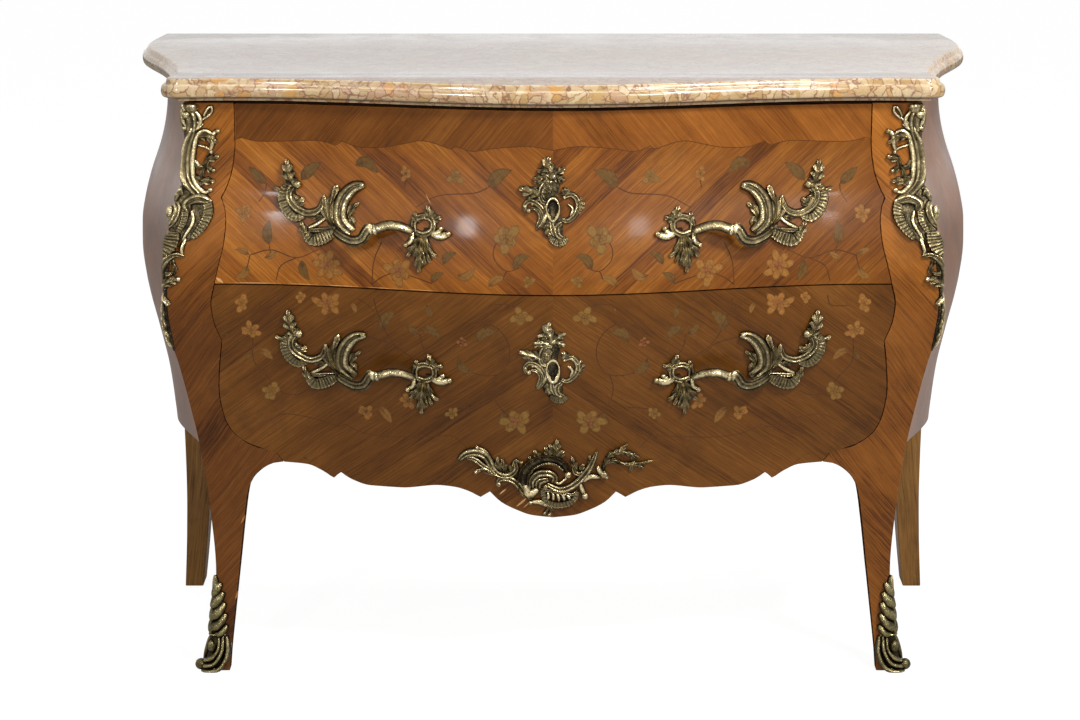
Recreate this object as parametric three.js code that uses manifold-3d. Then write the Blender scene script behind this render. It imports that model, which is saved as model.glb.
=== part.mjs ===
// A commode chest in the eighteenth-century French manner: serpentine in plan, swelling in
// profile, with two long drawers, a moulded marble slab and cast gilt mounts.
// Millimetres, +Z up. The front faces -Y and the origin is on the floor under the middle.
import * as THREE from 'three';
import { mergeVertices } from 'three/addons/utils/BufferGeometryUtils.js';
import Module from 'manifold-3d';

const wasm = await Module();
wasm.setup();

// Driving sizes of the carcass
const overallHeight = 870;
const marbleThickness = 32;
const topFrameThickness = 4; // of the frame between the slab and the posts
const cornerSpan = 1032; // between the two front corners, just under the slab
const rearSpan = 1160; // across the back, just under the slab
const carcassDepth = 480; // from the back to a front corner
const frontSweep = 72; // how far the middle of the front stands before its corners
const sweepHalfWidth = 450; // half the width of that sweep
const frontBelly = 34; // swell of the front at its middle
const cornerBelly = 27; // swell at the front corners
const rearBelly = 45; // swell of the sides near the back

// Clearances
const seatGap = 0.3; // between glued or screwed neighbours
const drawerGap = 1; // round each drawer front
const runningGap = 0.5; // between a drawer and its runners
const cutOverrun = 5; // how far a cutting shape runs past what it cuts

// Marble slab
const marbleOverhang = 20;
const marbleBackOverhang = 30; // past the back, to clear a skirting board
const flankOut = 21; // sideways swell of the slab near its back corners
const flankPlace = 70; // from the back of the carcass to the widest part of that swell
const flankLength = 225;
const earOut = 10; // sideways swell of the slab over each front corner
const earForward = 5;
const earLength = 60;
const earRadius = 26;
const marbleEdgeDepth = 11; // depth of the moulding round the slab

// Top frame, posts, panels and boards
const topFrameRecess = 6;
const topRailWidth = 60;
const topRailDrop = 12; // how far the front rail hangs down behind the upper drawer front
const frontPostThickness = 30;
const frontPostSide = 70; // how far a front post reaches back along the side
const rearPostDepth = 50;
const rearPostWidth = 50;
const rearFootWidth = 27;
const sidePanelThickness = 18;
const backBoardThickness = 12;
const shelfThickness = 8;
const boardClearance = 4; // between a board's ends and the swelling sides
const dividerThickness = 16;
const bottomBoardShare = 0.3842; // height of the bottom board, as a share of the carcass height
const bottomRailHeight = 24;
const bottomRailDepth = 60;
const runnerHeight = 20;
const runnerWidth = 34;
const guideLip = 14;
const guideWidth = 8;

// Drawers
const drawerJointShare = 0.6945; // height of the joint between the two fronts, as such a share
const drawerFrontThickness = 28;
const drawerSideThickness = 12;
const drawerBottomThickness = 8;
const drawerBottomInset = 5;
const drawerHeadroom = 30; // from the top of a front to the top of its sides
const lowerHeadroom = 14;
const boxClearance = 9; // between a drawer box and the narrowest part of its opening
const drawerRearGap = 16;
const boxFrontGap = 0.8; // between a drawer front and the box behind it
const backEase = 3; // how far the back of a front stays inside its face's outline

// Locks
const keyholeRadius = 4;
const keyholeHeight = 17;
const keyWayWidth = 4.6;
const lockCaseWidth = 64;
const lockCaseHeight = 56;
const lockCaseDepth = 14;
const lockPlate = 2;
const lockBlockMargin = 8;
const boltWidth = 24;
const boltThickness = 5;
const boltRodWidth = 12;
const boltThrow = 8;
const boltClearance = 0.4;
const boltTopGap = 2; // from the rail above to the drawn-in bolt
const upperKeyShare = 0.8353; // heights of the keyholes, as shares of the carcass height
const lowerKeyShare = 0.5644;

// Cast mounts. Their places up the chest are shares of the carcass height.
const handleWidth = 246;
const handleHeight = 158;
const handleSpacing = 516; // between the middles of a drawer's two handles
const upperHandleShare = 0.821;
const lowerHandleShare = 0.5716;
const castHeight = 9; // usual height of the scrolls above the veneer
const gripLift = 24; // space for fingers behind a grip
const gripThickness = 11;
const studRadius = 2.5;
const studClearance = 0.3;
const studTail = 12;
const nutRadius = 6;
const nutThickness = 5;
const nutSeatDepth = 6; // how deep a nut's flat is cut into the back of a front
const escutcheonWidth = 91;
const escutcheonHeight = 126;
const apronMountWidth = 270;
const apronMountHeight = 116;
const apronMountShare = 0.3652;
const cornerMountBottomShare = 0.5609;
const cornerMountReach = 58;
const sabotHeight = 138;
const sabotReach = 34;
const castSink = 3; // how far a casting is drawn into its seat before it is cut back

const carcassTop = overallHeight - marbleThickness;
const postTop = carcassTop - topFrameThickness;
const halfSpan = cornerSpan / 2;
const bottomBoardHeight = carcassTop * bottomBoardShare;
const drawerJointHeight = carcassTop * drawerJointShare;
const upperKeyHeight = carcassTop * upperKeyShare;
const lowerKeyHeight = carcassTop * lowerKeyShare;
const upperHandleHeight = carcassTop * upperHandleShare;
const lowerHandleHeight = carcassTop * lowerHandleShare;
const apronMountCentre = carcassTop * apronMountShare;
const cornerMountTop = postTop;
const cornerMountBottom = carcassTop * cornerMountBottomShare;

// Profiles as [share of the carcass height, share of the swell]
const frontBowShares = [[1, 0], [0.93, 0.06], [0.833, 0.41], [0.762, 0.82], [0.702, 1], [0.643, 0.97],
  [0.571, 0.65], [0.5, 0.18], [0.43, -0.35], [0.357, -0.82], [0.29, -1.12], [0, -1.3]];
const cornerBowShares = [[1, 0], [0.93, -0.1], [0.857, 0.1], [0.81, 0.5], [0.762, 0.82], [0.714, 0.97],
  [0.655, 1], [0.595, 0.82], [0.56, 0.55], [0.482, 0.05], [0.4, -0.4], [0.28, -0.82], [0.18, -1],
  [0.083, -0.85], [0, -0.45]];
const rearBowShares = [[1, 0], [0.94, 0.05], [0.905, 0.14], [0.87, 0.3], [0.82, 0.62], [0.774, 0.85],
  [0.732, 0.98], [0.685, 1], [0.63, 0.89], [0.59, 0.75], [0.548, 0.57], [0.512, 0.42], [0.464, 0.24],
  [0.405, 0.11], [0.345, 0.02], [0.2, -0.02], [0.107, 0.02], [0, 0.12]];

// Edge of the drawer opening and then of the leg, as runs of [height share, half-span share]
// that meet in points.
const openingEdgeShares = [
  [[1, 0.862], [0.93, 0.862], [0.886, 0.87], [0.855, 0.886], [0.837, 0.901]],
  [[0.837, 0.901], [0.82, 0.891], [0.802, 0.888], [0.767, 0.893], [0.726, 0.909], [0.693, 0.922],
    [0.662, 0.932], [0.632, 0.926], [0.596, 0.905]],
  [[0.596, 0.905], [0.558, 0.914], [0.506, 0.92], [0.458, 0.909], [0.432, 0.89], [0.412, 0.855],
    [0.401, 0.82], [0.396, 0.773]],
  [[0.396, 0.773], [0.376, 0.748]],
  [[0.376, 0.748], [0.373, 0.776], [0.362, 0.808], [0.345, 0.834], [0.322, 0.85], [0.268, 0.864],
    [0.192, 0.879], [0.124, 0.892], [0.033, 0.908], [0, 0.912]],
];
// Lower edge of the apron, as runs of [half-span share, height share] from the middle outwards
const apronEdgeShares = [
  [[0, 0.292], [0.058, 0.296], [0.1, 0.305], [0.143, 0.319], [0.174, 0.338]],
  [[0.174, 0.338], [0.2, 0.327]],
  [[0.2, 0.327], [0.235, 0.338], [0.27, 0.344], [0.312, 0.346], [0.42, 0.338], [0.506, 0.339],
    [0.56, 0.349], [0.589, 0.361]],
  [[0.589, 0.361], [0.609, 0.349]],
  [[0.609, 0.349], [0.64, 0.362], [0.682, 0.373], [0.748, 0.376]],
];
// Longest steps of the meshes along those edges, and how many steps the other surfaces take
const frontStepShare = 0.06;
const apronStepShare = 0.1;
const slabSideSteps = 11;
const slabTurnSteps = 4;
const slabFrontSteps = 12;
const postFrontSteps = 3;
const postSideSteps = 2;
const rearPostSteps = 20;
const panelLengthSteps = 10;
const panelHeightSteps = 9;
const frontEdgeSteps = 20;
const sideEdgeSteps = 6;
const heightSteps = 8;
const apronTipShare = 0.748; // where the apron meets the leg, as a share of the half span
// Depth of a front leg along the side, as [height share, share of the post's reach]
const legDepthShares = [[0.4, 1], [0.37, 0.98], [0.345, 0.86], [0.324, 0.74], [0.268, 0.66],
  [0.192, 0.56], [0.124, 0.5], [0.033, 0.44], [0, 0.43]];
// Lower edge of a side panel, as [share of its length, height share]
const sideEdgeShares = [[0, 0.37], [0.3, 0.364], [0.7, 0.358], [1, 0.352]];
const backBottomShare = 0.345; // of the back boards
const rearFootShares = [[0.4, 1], [0.345, 0.9], [0.13, 0.3], [0, 0]];
// Slab moulding from the underside up, as [share of its depth, share of the thickness]
const marbleMouldingShares = [[0.55, 0], [0.2, 0.08], [0, 0.3], [0.02, 0.5], [0.2, 0.68], [0.62, 0.76],
  [0.66, 0.84], [0.78, 0.95], [1, 1]];

// A curve through [place, value] points that keeps their rises and falls
function smoothThrough(points) {
  const p = [...points].sort((a, b) => a[0] - b[0]);
  const slope = p.slice(1).map((b, i) => (b[1] - p[i][1]) / (b[0] - p[i][0]));
  const tangent = p.map((_, i) => {
    const before = slope[i - 1] ?? slope[0];
    const after = slope[i] ?? slope[slope.length - 1];
    return before * after <= 0 ? 0 : (2 * before * after) / (before + after);
  });
  return (at) => {
    const x = Math.min(Math.max(at, p[0][0]), p[p.length - 1][0]);
    const i = Math.max(0, p.findIndex((q) => q[0] >= x) - 1);
    const step = p[i + 1][0] - p[i][0];
    const t = (x - p[i][0]) / step;
    const rise = t * t * (3 - 2 * t);
    return p[i][1] + (p[i + 1][1] - p[i][1]) * rise
      + step * tangent[i] * t * (1 - t) * (1 - t) - step * tangent[i + 1] * t * t * (1 - t);
  };
}

// The same over several runs that meet in points
function alongRuns(runs) {
  const curves = runs.map((run) => ({
    low: Math.min(run[0][0], run[run.length - 1][0]),
    high: Math.max(run[0][0], run[run.length - 1][0]),
    at: smoothThrough(run),
  }));
  return (at) => (curves.find((c) => at >= c.low && at <= c.high)
    ?? curves.reduce((a, c) => (Math.abs(at - c.low) < Math.abs(at - a.low) ? c : a))).at(at);
}

// Places along the runs: each run's own points with a few between them.
function placesAlong(runs, between) {
  const places = new Set();
  for (const run of runs)
    run.slice(1).forEach(([b], i) => {
      const a = run[i][0];
      const parts = Math.max(1, Math.round(Math.abs(b - a) / between));
      for (let k = 0; k <= parts; k++) places.add(+(a + ((b - a) * k) / parts).toFixed(5));
    });
  return [...places].sort((a, b) => a - b);
}

const bow = (shares, swell) => {
  const at = smoothThrough(shares);
  return (z) => swell * at(z / carcassTop);
};
const centreBow = bow(frontBowShares, frontBelly);
const cornerBow = bow(cornerBowShares, cornerBelly);
const rearBow = bow(rearBowShares, rearBelly);
const openingEdgeAt = alongRuns(openingEdgeShares);
const openingEdge = (z) => halfSpan * openingEdgeAt(z / carcassTop);
const apronEdgeAt = alongRuns(apronEdgeShares);
const apronEdge = (x) => carcassTop * apronEdgeAt(Math.min(Math.abs(x) / halfSpan, apronTipShare));

const easeInOut = (t) => {
  const s = Math.min(Math.max(t, 0), 1);
  return s * s * (3 - 2 * s);
};
const sweepAt = (x) => 0.5 * (1 + Math.cos(Math.PI * Math.min(1, Math.abs(x) / sweepHalfWidth)));

// The front face: y for a place x, z.
function frontY(x, z) {
  const sweep = sweepAt(x);
  return -(carcassDepth + frontSweep * sweep + cornerBow(z) + (centreBow(z) - cornerBow(z)) * sweep);
}
const cornerX = (z) => halfSpan + cornerBow(z);
const cornerY = (z) => -(carcassDepth + cornerBow(z));
const rearX = (z) => rearSpan / 2 + rearBow(z);

// The side face: x for a place y, z. It bends outwards towards the back and in again at its end.
const sideStartShare = 0.05; // where the bend starts, as a share of the side from its front corner
const sideTurnShare = 0.78;
const sideReturnShare = 0.04;
function sideX(y, z) {
  const along = (y - cornerY(z)) / -cornerY(z);
  const out = easeInOut((along - sideStartShare) / (sideTurnShare - sideStartShare));
  const back = sideReturnShare * easeInOut((along - sideTurnShare) / (1 - sideTurnShare));
  return cornerX(z) + (rearX(z) - cornerX(z)) * out - (rearSpan / 2 - halfSpan) * back;
}

// Faces that close an outline, in its own order. Every point is used, also along straight runs.
function capFaces(outline) {
  const sign = Math.sign(THREE.ShapeUtils.area(outline));
  const left = outline.map((_, i) => i);
  const faces = [];
  const cross = (a, b, c) => sign * ((b.x - a.x) * (c.y - a.y) - (b.y - a.y) * (c.x - a.x));
  while (left.length > 3) {
    let best = -1;
    let bestShape = 0;
    left.forEach((middle, i) => {
      const corner = [left.at(i - 1), middle, left[(i + 1) % left.length]];
      const [a, b, c] = corner.map((k) => outline[k]);
      const longest = Math.max(a.distanceToSquared(b), b.distanceToSquared(c), c.distanceToSquared(a));
      const shape = cross(a, b, c) / longest;
      if (shape <= bestShape) return;
      const inside = (p) => cross(a, b, p) >= 0 && cross(b, c, p) >= 0 && cross(c, a, p) >= 0;
      if (left.some((k) => !corner.includes(k) && inside(outline[k]))) return;
      best = i;
      bestShape = shape;
    });
    if (best < 0) throw new Error('an outline crosses itself');
    faces.push([left.at(best - 1), left[best], left[(best + 1) % left.length]]);
    left.splice(best, 1);
  }
  return [...faces, left];
}

// A closed solid through rings of points, all of one length. flat() gives a cap's outline in 2D.
function loft(rings, flat) {
  const count = rings[0].length;
  const positions = rings.flat().flatMap((p) => [p.x, p.y, p.z]);
  const index = [];
  for (let r = 0; r + 1 < rings.length; r++)
    for (let i = 0; i < count; i++) {
      const j = (i + 1) % count;
      const [a, b, c, d] = [r * count + i, r * count + j, (r + 1) * count + j, (r + 1) * count + i];
      index.push(a, b, c, a, c, d);
    }
  const capOf = (r, turned) => {
    for (const face of capFaces(rings[r].map(flat))) {
      const [a, b, c] = face.map((i) => r * count + i);
      if (turned) index.push(a, b, c);
      else index.push(a, c, b);
    }
  };
  capOf(0, false);
  capOf(rings.length - 1, true);
  const geometry = new THREE.BufferGeometry();
  geometry.setAttribute('position', new THREE.Float32BufferAttribute(positions, 3));
  geometry.setIndex(index);
  return facingOut(geometry);
}

function facingOut(geometry) {
  const p = geometry.attributes.position;
  const index = geometry.index.array;
  const [a, b, c] = [new THREE.Vector3(), new THREE.Vector3(), new THREE.Vector3()];
  let volume = 0;
  for (let i = 0; i < index.length; i += 3) {
    a.fromBufferAttribute(p, index[i]);
    b.fromBufferAttribute(p, index[i + 1]);
    c.fromBufferAttribute(p, index[i + 2]);
    volume += a.dot(b.cross(c));
  }
  if (volume < 0)
    for (let i = 0; i < index.length; i += 3) [index[i + 1], index[i + 2]] = [index[i + 2], index[i + 1]];
  return geometry;
}

const flatXY = (p) => new THREE.Vector2(p.x, p.y);
const flatYZ = (p) => new THREE.Vector2(p.y, p.z);
const flatXZ = (p) => new THREE.Vector2(p.x, p.z);
const point = (x, y, z) => new THREE.Vector3(x, y, z);

// Between a geometry and a solid for cutting and joining
function solidOf(geometry) {
  const plain = geometry.clone();
  plain.deleteAttribute('normal');
  plain.deleteAttribute('uv');
  const merged = mergeVertices(plain, 1e-4);
  return new wasm.Manifold(new wasm.Mesh({
    numProp: 3,
    vertProperties: merged.attributes.position.array,
    triVerts: new Uint32Array(merged.index.array),
  }));
}
function geometryOf(solid) {
  const mesh = solid.getMesh();
  const geometry = new THREE.BufferGeometry();
  geometry.setAttribute('position', new THREE.BufferAttribute(new Float32Array(mesh.vertProperties), 3));
  geometry.setIndex(new THREE.BufferAttribute(new Uint32Array(mesh.triVerts), 1));
  return geometry;
}
const join = (pieces) => pieces.map(solidOf).reduce((a, b) => a.add(b));
const cut = (geometry, ...tools) =>
  geometryOf(tools.reduce((solid, tool) => solid.subtract(solidOf(tool)), solidOf(geometry)));

const halfway = (a, b) => (a + b) / 2;
function block([x0, x1], [y0, y1], [z0, z1]) {
  return new THREE.BoxGeometry(x1 - x0, y1 - y0, z1 - z0)
    .translate(halfway(x0, x1), halfway(y0, y1), halfway(z0, z1));
}
// A flat board from its outline in x, y
function board(outline, z0, z1) {
  return loft([z0, z1].map((z) => outline.map(([x, y]) => point(x, y, z))), flatXY);
}
const spread = (from, to, count) =>
  Array.from({ length: count + 1 }, (_, i) => from + ((to - from) * i) / count);

const commode = new THREE.Group();
const finish = (color, roughness, metalness) =>
  new THREE.MeshStandardMaterial({ color, roughness, metalness });
const veneer = finish(0x9a5527, 0.28, 0);
const plainWood = finish(0x5d4426, 0.6, 0);
const rawWood = finish(0xb58a5a, 0.75, 0);
const ebonised = finish(0x1c1512, 0.4, 0);
const marble = finish(0xd9b98a, 0.15, 0);
const giltBronze = finish(0x8f7740, 0.35, 1);
const iron = finish(0x4a4640, 0.5, 1);
function add(name, geometry, material, mirrored = false) {
  const mesh = new THREE.Mesh(geometry, material);
  mesh.name = name;
  if (mirrored) mesh.scale.x = -1;
  commode.add(mesh);
}
// A piece made for one side, and its mirror image on the other
function addPair(name, geometry, material, madeFor = 'right') {
  for (const side of ['right', 'left']) add(name + '_' + side, geometry, material, side !== madeFor);
}

// Marble slab
function slabOutline() {
  const bell = (t) => (Math.abs(t) < 1 ? 0.5 * (1 + Math.cos(Math.PI * t)) : 0);
  const front = carcassDepth + marbleOverhang + earForward;
  const half = [];
  for (const y of spread(marbleBackOverhang, -(front - earRadius), slabSideSteps)) {
    const ear = earOut * bell((y + carcassDepth) / earLength);
    const swell = ear + flankOut * bell((y + flankPlace) / flankLength);
    half.push([sideX(Math.min(y, 0), carcassTop) + marbleOverhang + swell, y]);
  }
  const centre = [half[half.length - 1][0] - earRadius, -(front - earRadius)];
  for (const turn of spread(0, Math.PI / 2, slabTurnSteps).slice(1))
    half.push([centre[0] + earRadius * Math.cos(turn), centre[1] - earRadius * Math.sin(turn)]);
  for (const x of spread(centre[0], 0, slabFrontSteps).slice(1)) {
    const ear = earForward * bell((centre[0] - x) / earLength);
    half.push([x, -(carcassDepth + marbleOverhang + ear + frontSweep * sweepAt(x))]);
  }
  return [...half, ...half.slice(0, -1).reverse().map(([x, y]) => [-x, y])];
}
// The outline drawn in by inset; its straight back edge stays where it is.
function slabRing(outline, inset, z) {
  return outline.map(([x, y], i) => {
    if (i === 0 || i === outline.length - 1) return point(x - inset * Math.sign(x), y, z);
    const [ax, ay] = outline[i - 1];
    const [bx, by] = outline[i + 1];
    const length = Math.hypot(bx - ax, by - ay);
    return point(x + (inset * (by - ay)) / length, y - (inset * (bx - ax)) / length, z);
  });
}
{
  const outline = slabOutline();
  const rings = marbleMouldingShares.map(([depth, height]) =>
    slabRing(outline, depth * marbleEdgeDepth, carcassTop + height * marbleThickness));
  add('marble_top', loft(rings, flatXY), marble);
}

// Front posts: a stile that runs down into a curved leg. grow swells the outer faces, for cutting.
const legDepthAt = smoothThrough(legDepthShares);
const legStartShare = 0.385;
const legBlendShare = 0.06;
const legThicknessShare = 0.72; // of the leg's two hidden faces
const legCornerShare = 0.08; // how far its inner corner stands out, as a share of its width
function frontPost(grow) {
  const heights = placesAlong(openingEdgeShares, frontStepShare).map((share) => share * carcassTop)
    .filter((z) => z < postTop).concat(postTop);
  const rings = heights.map((z) => {
    const inner = openingEdge(z);
    const corner = cornerX(z);
    const armEnd = -(carcassDepth - frontPostSide);
    const legEnd = Math.min(armEnd, cornerY(z) + frontPostSide * legDepthAt(z / carcassTop));
    const leg = easeInOut((legStartShare - z / carcassTop) / legBlendShare); // 0 in the stile, 1 in the leg
    const rear = armEnd + (legEnd - armEnd) * leg;
    const width = corner - inner;
    const front = spread(inner, corner, postFrontSteps).map((x) => point(x, frontY(x, z) - grow, z));
    front[front.length - 1].x += grow;
    const side = spread(cornerY(z), rear, postSideSteps).slice(1).map((y) => point(sideX(y, z) + grow, y, z));
    const thick = (span) => frontPostThickness + (span * legThicknessShare - frontPostThickness) * leg;
    const sideBack = sideX(rear, z) - thick(width);
    const frontBack = frontY(inner, z) + thick(rear - cornerY(z));
    const stileInside = [sideX(rear, z) - frontPostThickness, cornerY(z) + frontPostThickness];
    const out = width * legCornerShare;
    const legInside = [halfway(inner, sideBack) - out, halfway(rear, frontBack) + out];
    const inside = stileInside.map((v, i) => v + (legInside[i] - v) * leg);
    return [...front, ...side, point(sideBack, rear, z), point(inside[0], inside[1], z),
      point(inner, frontBack, z)];
  });
  return loft(rings, flatXY);
}
const postShape = frontPost(0);
addPair('front_post', postShape, veneer);

// Rear posts: plain, with a leg that tapers and turns out at the foot
const rearInner = rearSpan / 2 - rearPostWidth;
const rearFootAt = smoothThrough(rearFootShares);
{
  const rings = spread(0, 1, rearPostSteps).map((share) => {
    const z = share * postTop;
    const outer = sideX(0, z);
    const front = Math.min(sideX(-rearPostDepth, z), outer + rearPostDepth);
    const footInner = outer - rearFootWidth;
    const inner = footInner + (rearInner - footInner) * rearFootAt(z / carcassTop);
    return [point(inner, 0, z), point(inner, -rearPostDepth, z), point(front, -rearPostDepth, z),
      point(outer, 0, z)];
  });
  addPair('rear_post', loft(rings, flatXY), plainWood);
}

// Side panels
const sideFrontY = -(carcassDepth - frontPostSide) + seatGap;
const sideRearY = -rearPostDepth - seatGap;
{
  const edgeAt = smoothThrough(sideEdgeShares);
  const rings = spread(0, 1, panelLengthSteps).map((along) => {
    const y = sideFrontY + (sideRearY - sideFrontY) * along;
    const low = carcassTop * edgeAt(along);
    const heights = spread(0, 1, panelHeightSteps).map((share) => low + (postTop - low) * share);
    return [
      ...heights.map((z) => point(sideX(y, z), y, z)),
      ...heights.reverse().map((z) => point(sideX(y, z) - sidePanelThickness, y, z)),
    ];
  });
  addPair('side_panel', loft(rings, flatXZ), veneer);
}

const railClearance = 3;
// A rail with a straight back whose front follows the backs of the drawer fronts
function frontRail(half, z0, z1, backY) {
  const edge = spread(-half, half, frontEdgeSteps).map((x) => {
    const rearmost = Math.max(...spread(z0, z1, heightSteps).map((z) => frontY(x, z)));
    return [x, rearmost + frontPostThickness + railClearance];
  });
  return board([...edge, [half, backY], [-half, backY]], z0, z1);
}

// Frame under the slab: four rails
const topRailBottom = postTop - topRailDrop;
{
  const z = postTop;
  const innerFront = -(carcassDepth - topRailWidth);
  const frontHalf = cornerX(z) - topFrameRecess;
  const frontEdge = spread(-frontHalf, frontHalf, frontEdgeSteps)
    .map((x) => [x, frontY(x, z) + topFrameRecess]);
  const plate = board([...frontEdge, [frontHalf, innerFront], [-frontHalf, innerFront]], z, carcassTop);
  const hangingTop = postTop + topFrameThickness / 2;
  const hanging = frontRail(openingEdge(postTop) - seatGap, topRailBottom, hangingTop, innerFront);
  const boltSlot = block([-boltRodWidth / 2 - drawerGap, boltRodWidth / 2 + drawerGap],
    slotDepth(upperLockY()), [topRailBottom - cutOverrun, carcassTop + cutOverrun]);
  add('top_front_rail', geometryOf(join([plate, hanging]).subtract(solidOf(boltSlot))), ebonised);
  const sideEdge = spread(innerFront + seatGap, -topRailWidth - seatGap, sideEdgeSteps)
    .map((y) => [sideX(y, z) - topFrameRecess, y]);
  const sideInner = sideEdge[0][0] - topRailWidth;
  addPair('top_side_rail', board([...sideEdge, [sideInner, -topRailWidth - seatGap],
    [sideInner, innerFront + seatGap]], postTop, carcassTop), rawWood);
  const rearHalf = sideX(-topRailWidth, z) - topFrameRecess - sideReturnShare * topRailWidth;
  add('top_back_rail', block([-rearHalf, rearHalf], [-topRailWidth, 0], [postTop, carcassTop]), rawWood);
}

// Back boards, between the rear posts
const backBottom = carcassTop * backBottomShare;
{
  const half = rearInner - seatGap;
  add('back_board_upper', block([-half, half], [-backBoardThickness, 0],
    [drawerJointHeight + seatGap, postTop]), plainWood);
  add('back_board_lower', block([-half, half], [-backBoardThickness, 0],
    [backBottom, drawerJointHeight]), plainWood);
}

// Rails, boards and runners that carry the drawers
const lowerRunnerTop = bottomBoardHeight + shelfThickness + runnerHeight;
const narrowestOpening = Math.min(...spread(lowerRunnerTop, postTop, overallHeight).map(openingEdge));
const boxHalf = narrowestOpening - boxClearance;
const drawerBoxRear = -(rearPostDepth + drawerRearGap);
const dividerTop = drawerJointHeight + dividerThickness / 2;
const dividerBottom = dividerTop - dividerThickness;
// A board between the sides, from a rail back to the back boards
function innerBoard(frontEdgeY, z0, z1) {
  const clear = sidePanelThickness + boardClearance;
  const narrow = (y) => Math.min(sideX(y, z0), sideX(y, z1)) - clear;
  const half = [...spread(frontEdgeY, -rearPostDepth - drawerGap, sideEdgeSteps).map((y) => [narrow(y), y]),
    [rearInner - seatGap, -rearPostDepth - drawerGap], [rearInner - seatGap, -backBoardThickness - seatGap]];
  const frontCorner = Math.min(half[0][0], cornerX(z0) - frontPostThickness - boardClearance,
    cornerX(z1) - frontPostThickness - boardClearance);
  half[0][0] = frontCorner;
  return board([...half, ...half.map(([x, y]) => [-x, y]).reverse()], z0, z1);
}
const shelfFront = -(carcassDepth - bottomRailDepth);
{
  const half = Math.min(openingEdge(dividerBottom), openingEdge(dividerTop)) - seatGap;
  const rail = frontRail(half, dividerBottom, dividerTop, shelfFront);
  const boltSlot = block([-boltRodWidth / 2 - drawerGap, boltRodWidth / 2 + drawerGap],
    slotDepth(lowerLockY()), [dividerBottom - cutOverrun, dividerTop + cutOverrun]);
  add('divider_front_rail', cut(rail, boltSlot), rawWood);
  add('dust_board', innerBoard(shelfFront + seatGap, dividerBottom, dividerBottom + shelfThickness), rawWood);
  const railTop = bottomBoardHeight + bottomRailHeight;
  const bottomHalf = Math.min(cornerX(bottomBoardHeight), cornerX(railTop)) - frontPostThickness - drawerGap;
  add('bottom_front_rail', frontRail(bottomHalf, bottomBoardHeight, railTop, shelfFront), rawWood);
  add('bottom_board', innerBoard(shelfFront + seatGap, bottomBoardHeight,
    bottomBoardHeight + shelfThickness), rawWood);
}
// A runner is stepped: the drawer side slides on its low part and its lip guides it.
function runner(base, top) {
  const lip = boxHalf + runningGap;
  const outline = [[lip + guideWidth, base], [lip + guideWidth, top + guideLip], [lip, top + guideLip],
    [lip, top], [lip + guideWidth - runnerWidth, top], [lip + guideWidth - runnerWidth, base]];
  const ends = [shelfFront + seatGap, drawerBoxRear + drawerRearGap / 2];
  return loft(ends.map((y) => outline.map(([x, z]) => point(x, y, z))), flatXZ);
}
addPair('upper_runner', runner(dividerBottom + shelfThickness, dividerTop), rawWood);
addPair('lower_runner', runner(bottomBoardHeight + shelfThickness, lowerRunnerTop), rawWood);

// The flat plane that a lock is screwed to, behind its drawer front
function lockPlane(z0, z1) {
  const rearmost = Math.max(...spread(z0, z1, heightSteps).map((z) => frontY(0, z)));
  return rearmost + drawerFrontThickness + lockBlockMargin / 2;
}
function upperLockY() {
  return lockPlane(upperKeyHeight - lockCaseHeight / 2, postTop - drawerGap);
}
function lowerLockY() {
  return lockPlane(lowerKeyHeight - lockCaseHeight / 2, drawerJointHeight);
}
function slotDepth(lockY) {
  const middle = lockY + lockCaseDepth / 2;
  return [middle - boltThickness / 2 - drawerGap, middle + boltThickness / 2 + drawerGap];
}

// Cast mounts are drawn as scrolls. A scroll follows [across, up] shares of the casting's box.
// Its width and crest, the height of its ridge, are shares of the usual height of the scrolls, and
// ends are the shares of its width left at its two ends.
const scrollFullness = 0.6; // how soon a scroll swells to its full width
const endCrestShare = 0.6; // height of a scroll's ends, as a share of its crest
const defaultEnds = [0.35, 0.35];
function scroll(place, { at: points, width, crest = 1, steps = 3, ends = defaultEnds }) {
  const curve = new THREE.CatmullRomCurve3(points.map(([u, v]) => point(...place.flat(u, v), 0)));
  const rings = spread(0, 1, steps).map((t) => {
    const at = curve.getPointAt(t);
    const along = curve.getTangentAt(t);
    const swell = Math.max(0, Math.sin(Math.PI * t)) ** scrollFullness;
    const end = t < 1 / 2 ? ends[0] : ends[1];
    const half = ((width * castHeight) / 2) * (end + (1 - end) * swell);
    const top = crest * castHeight * (endCrestShare + (1 - endCrestShare) * swell);
    const across = (share, height) =>
      place.solid(at.x - along.y * half * share, at.y + along.x * half * share, height);
    return [across(-1, -castSink), across(0, top), across(1, -castSink)];
  });
  return loft(rings, flatOf(rings));
}
// A flat view for a scroll's end caps: the plane of the ring itself
function flatOf(rings) {
  return (p) => {
    const ring = rings[0].includes(p) ? rings[0] : rings[rings.length - 1];
    const side = ring[ring.length - 1].clone().sub(ring[0]).normalize();
    const up = ring[1].clone().sub(ring[0]);
    up.sub(side.clone().multiplyScalar(up.dot(side))).normalize();
    const from = p.clone().sub(ring[0]);
    return new THREE.Vector2(from.dot(side), from.dot(up));
  };
}
// A bead standing on the seat, its radius a share of the usual height of the scrolls
const beadLiftShare = 0.4; // how far its middle lies above the scrolls' crest less its radius
const beadSides = [7, 5];
function bead(place, [u, v], radiusShare) {
  const radius = radiusShare * castHeight;
  const [x, y] = place.flat(u, v);
  const at = place.solid(x, y, castHeight - radius * (1 - beadLiftShare));
  return new THREE.SphereGeometry(radius, ...beadSides).translate(at.x, at.y, at.z);
}

// Places a casting's shares on the front face, about a middle at x, z
function onFront(middleX, middleZ, width, height) {
  return {
    flat: (u, v) => [middleX + (u - 0.5) * width, middleZ + (v - 0.5) * height],
    solid: (x, z, h) => point(x, frontY(x, z) - h, z),
  };
}
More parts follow.
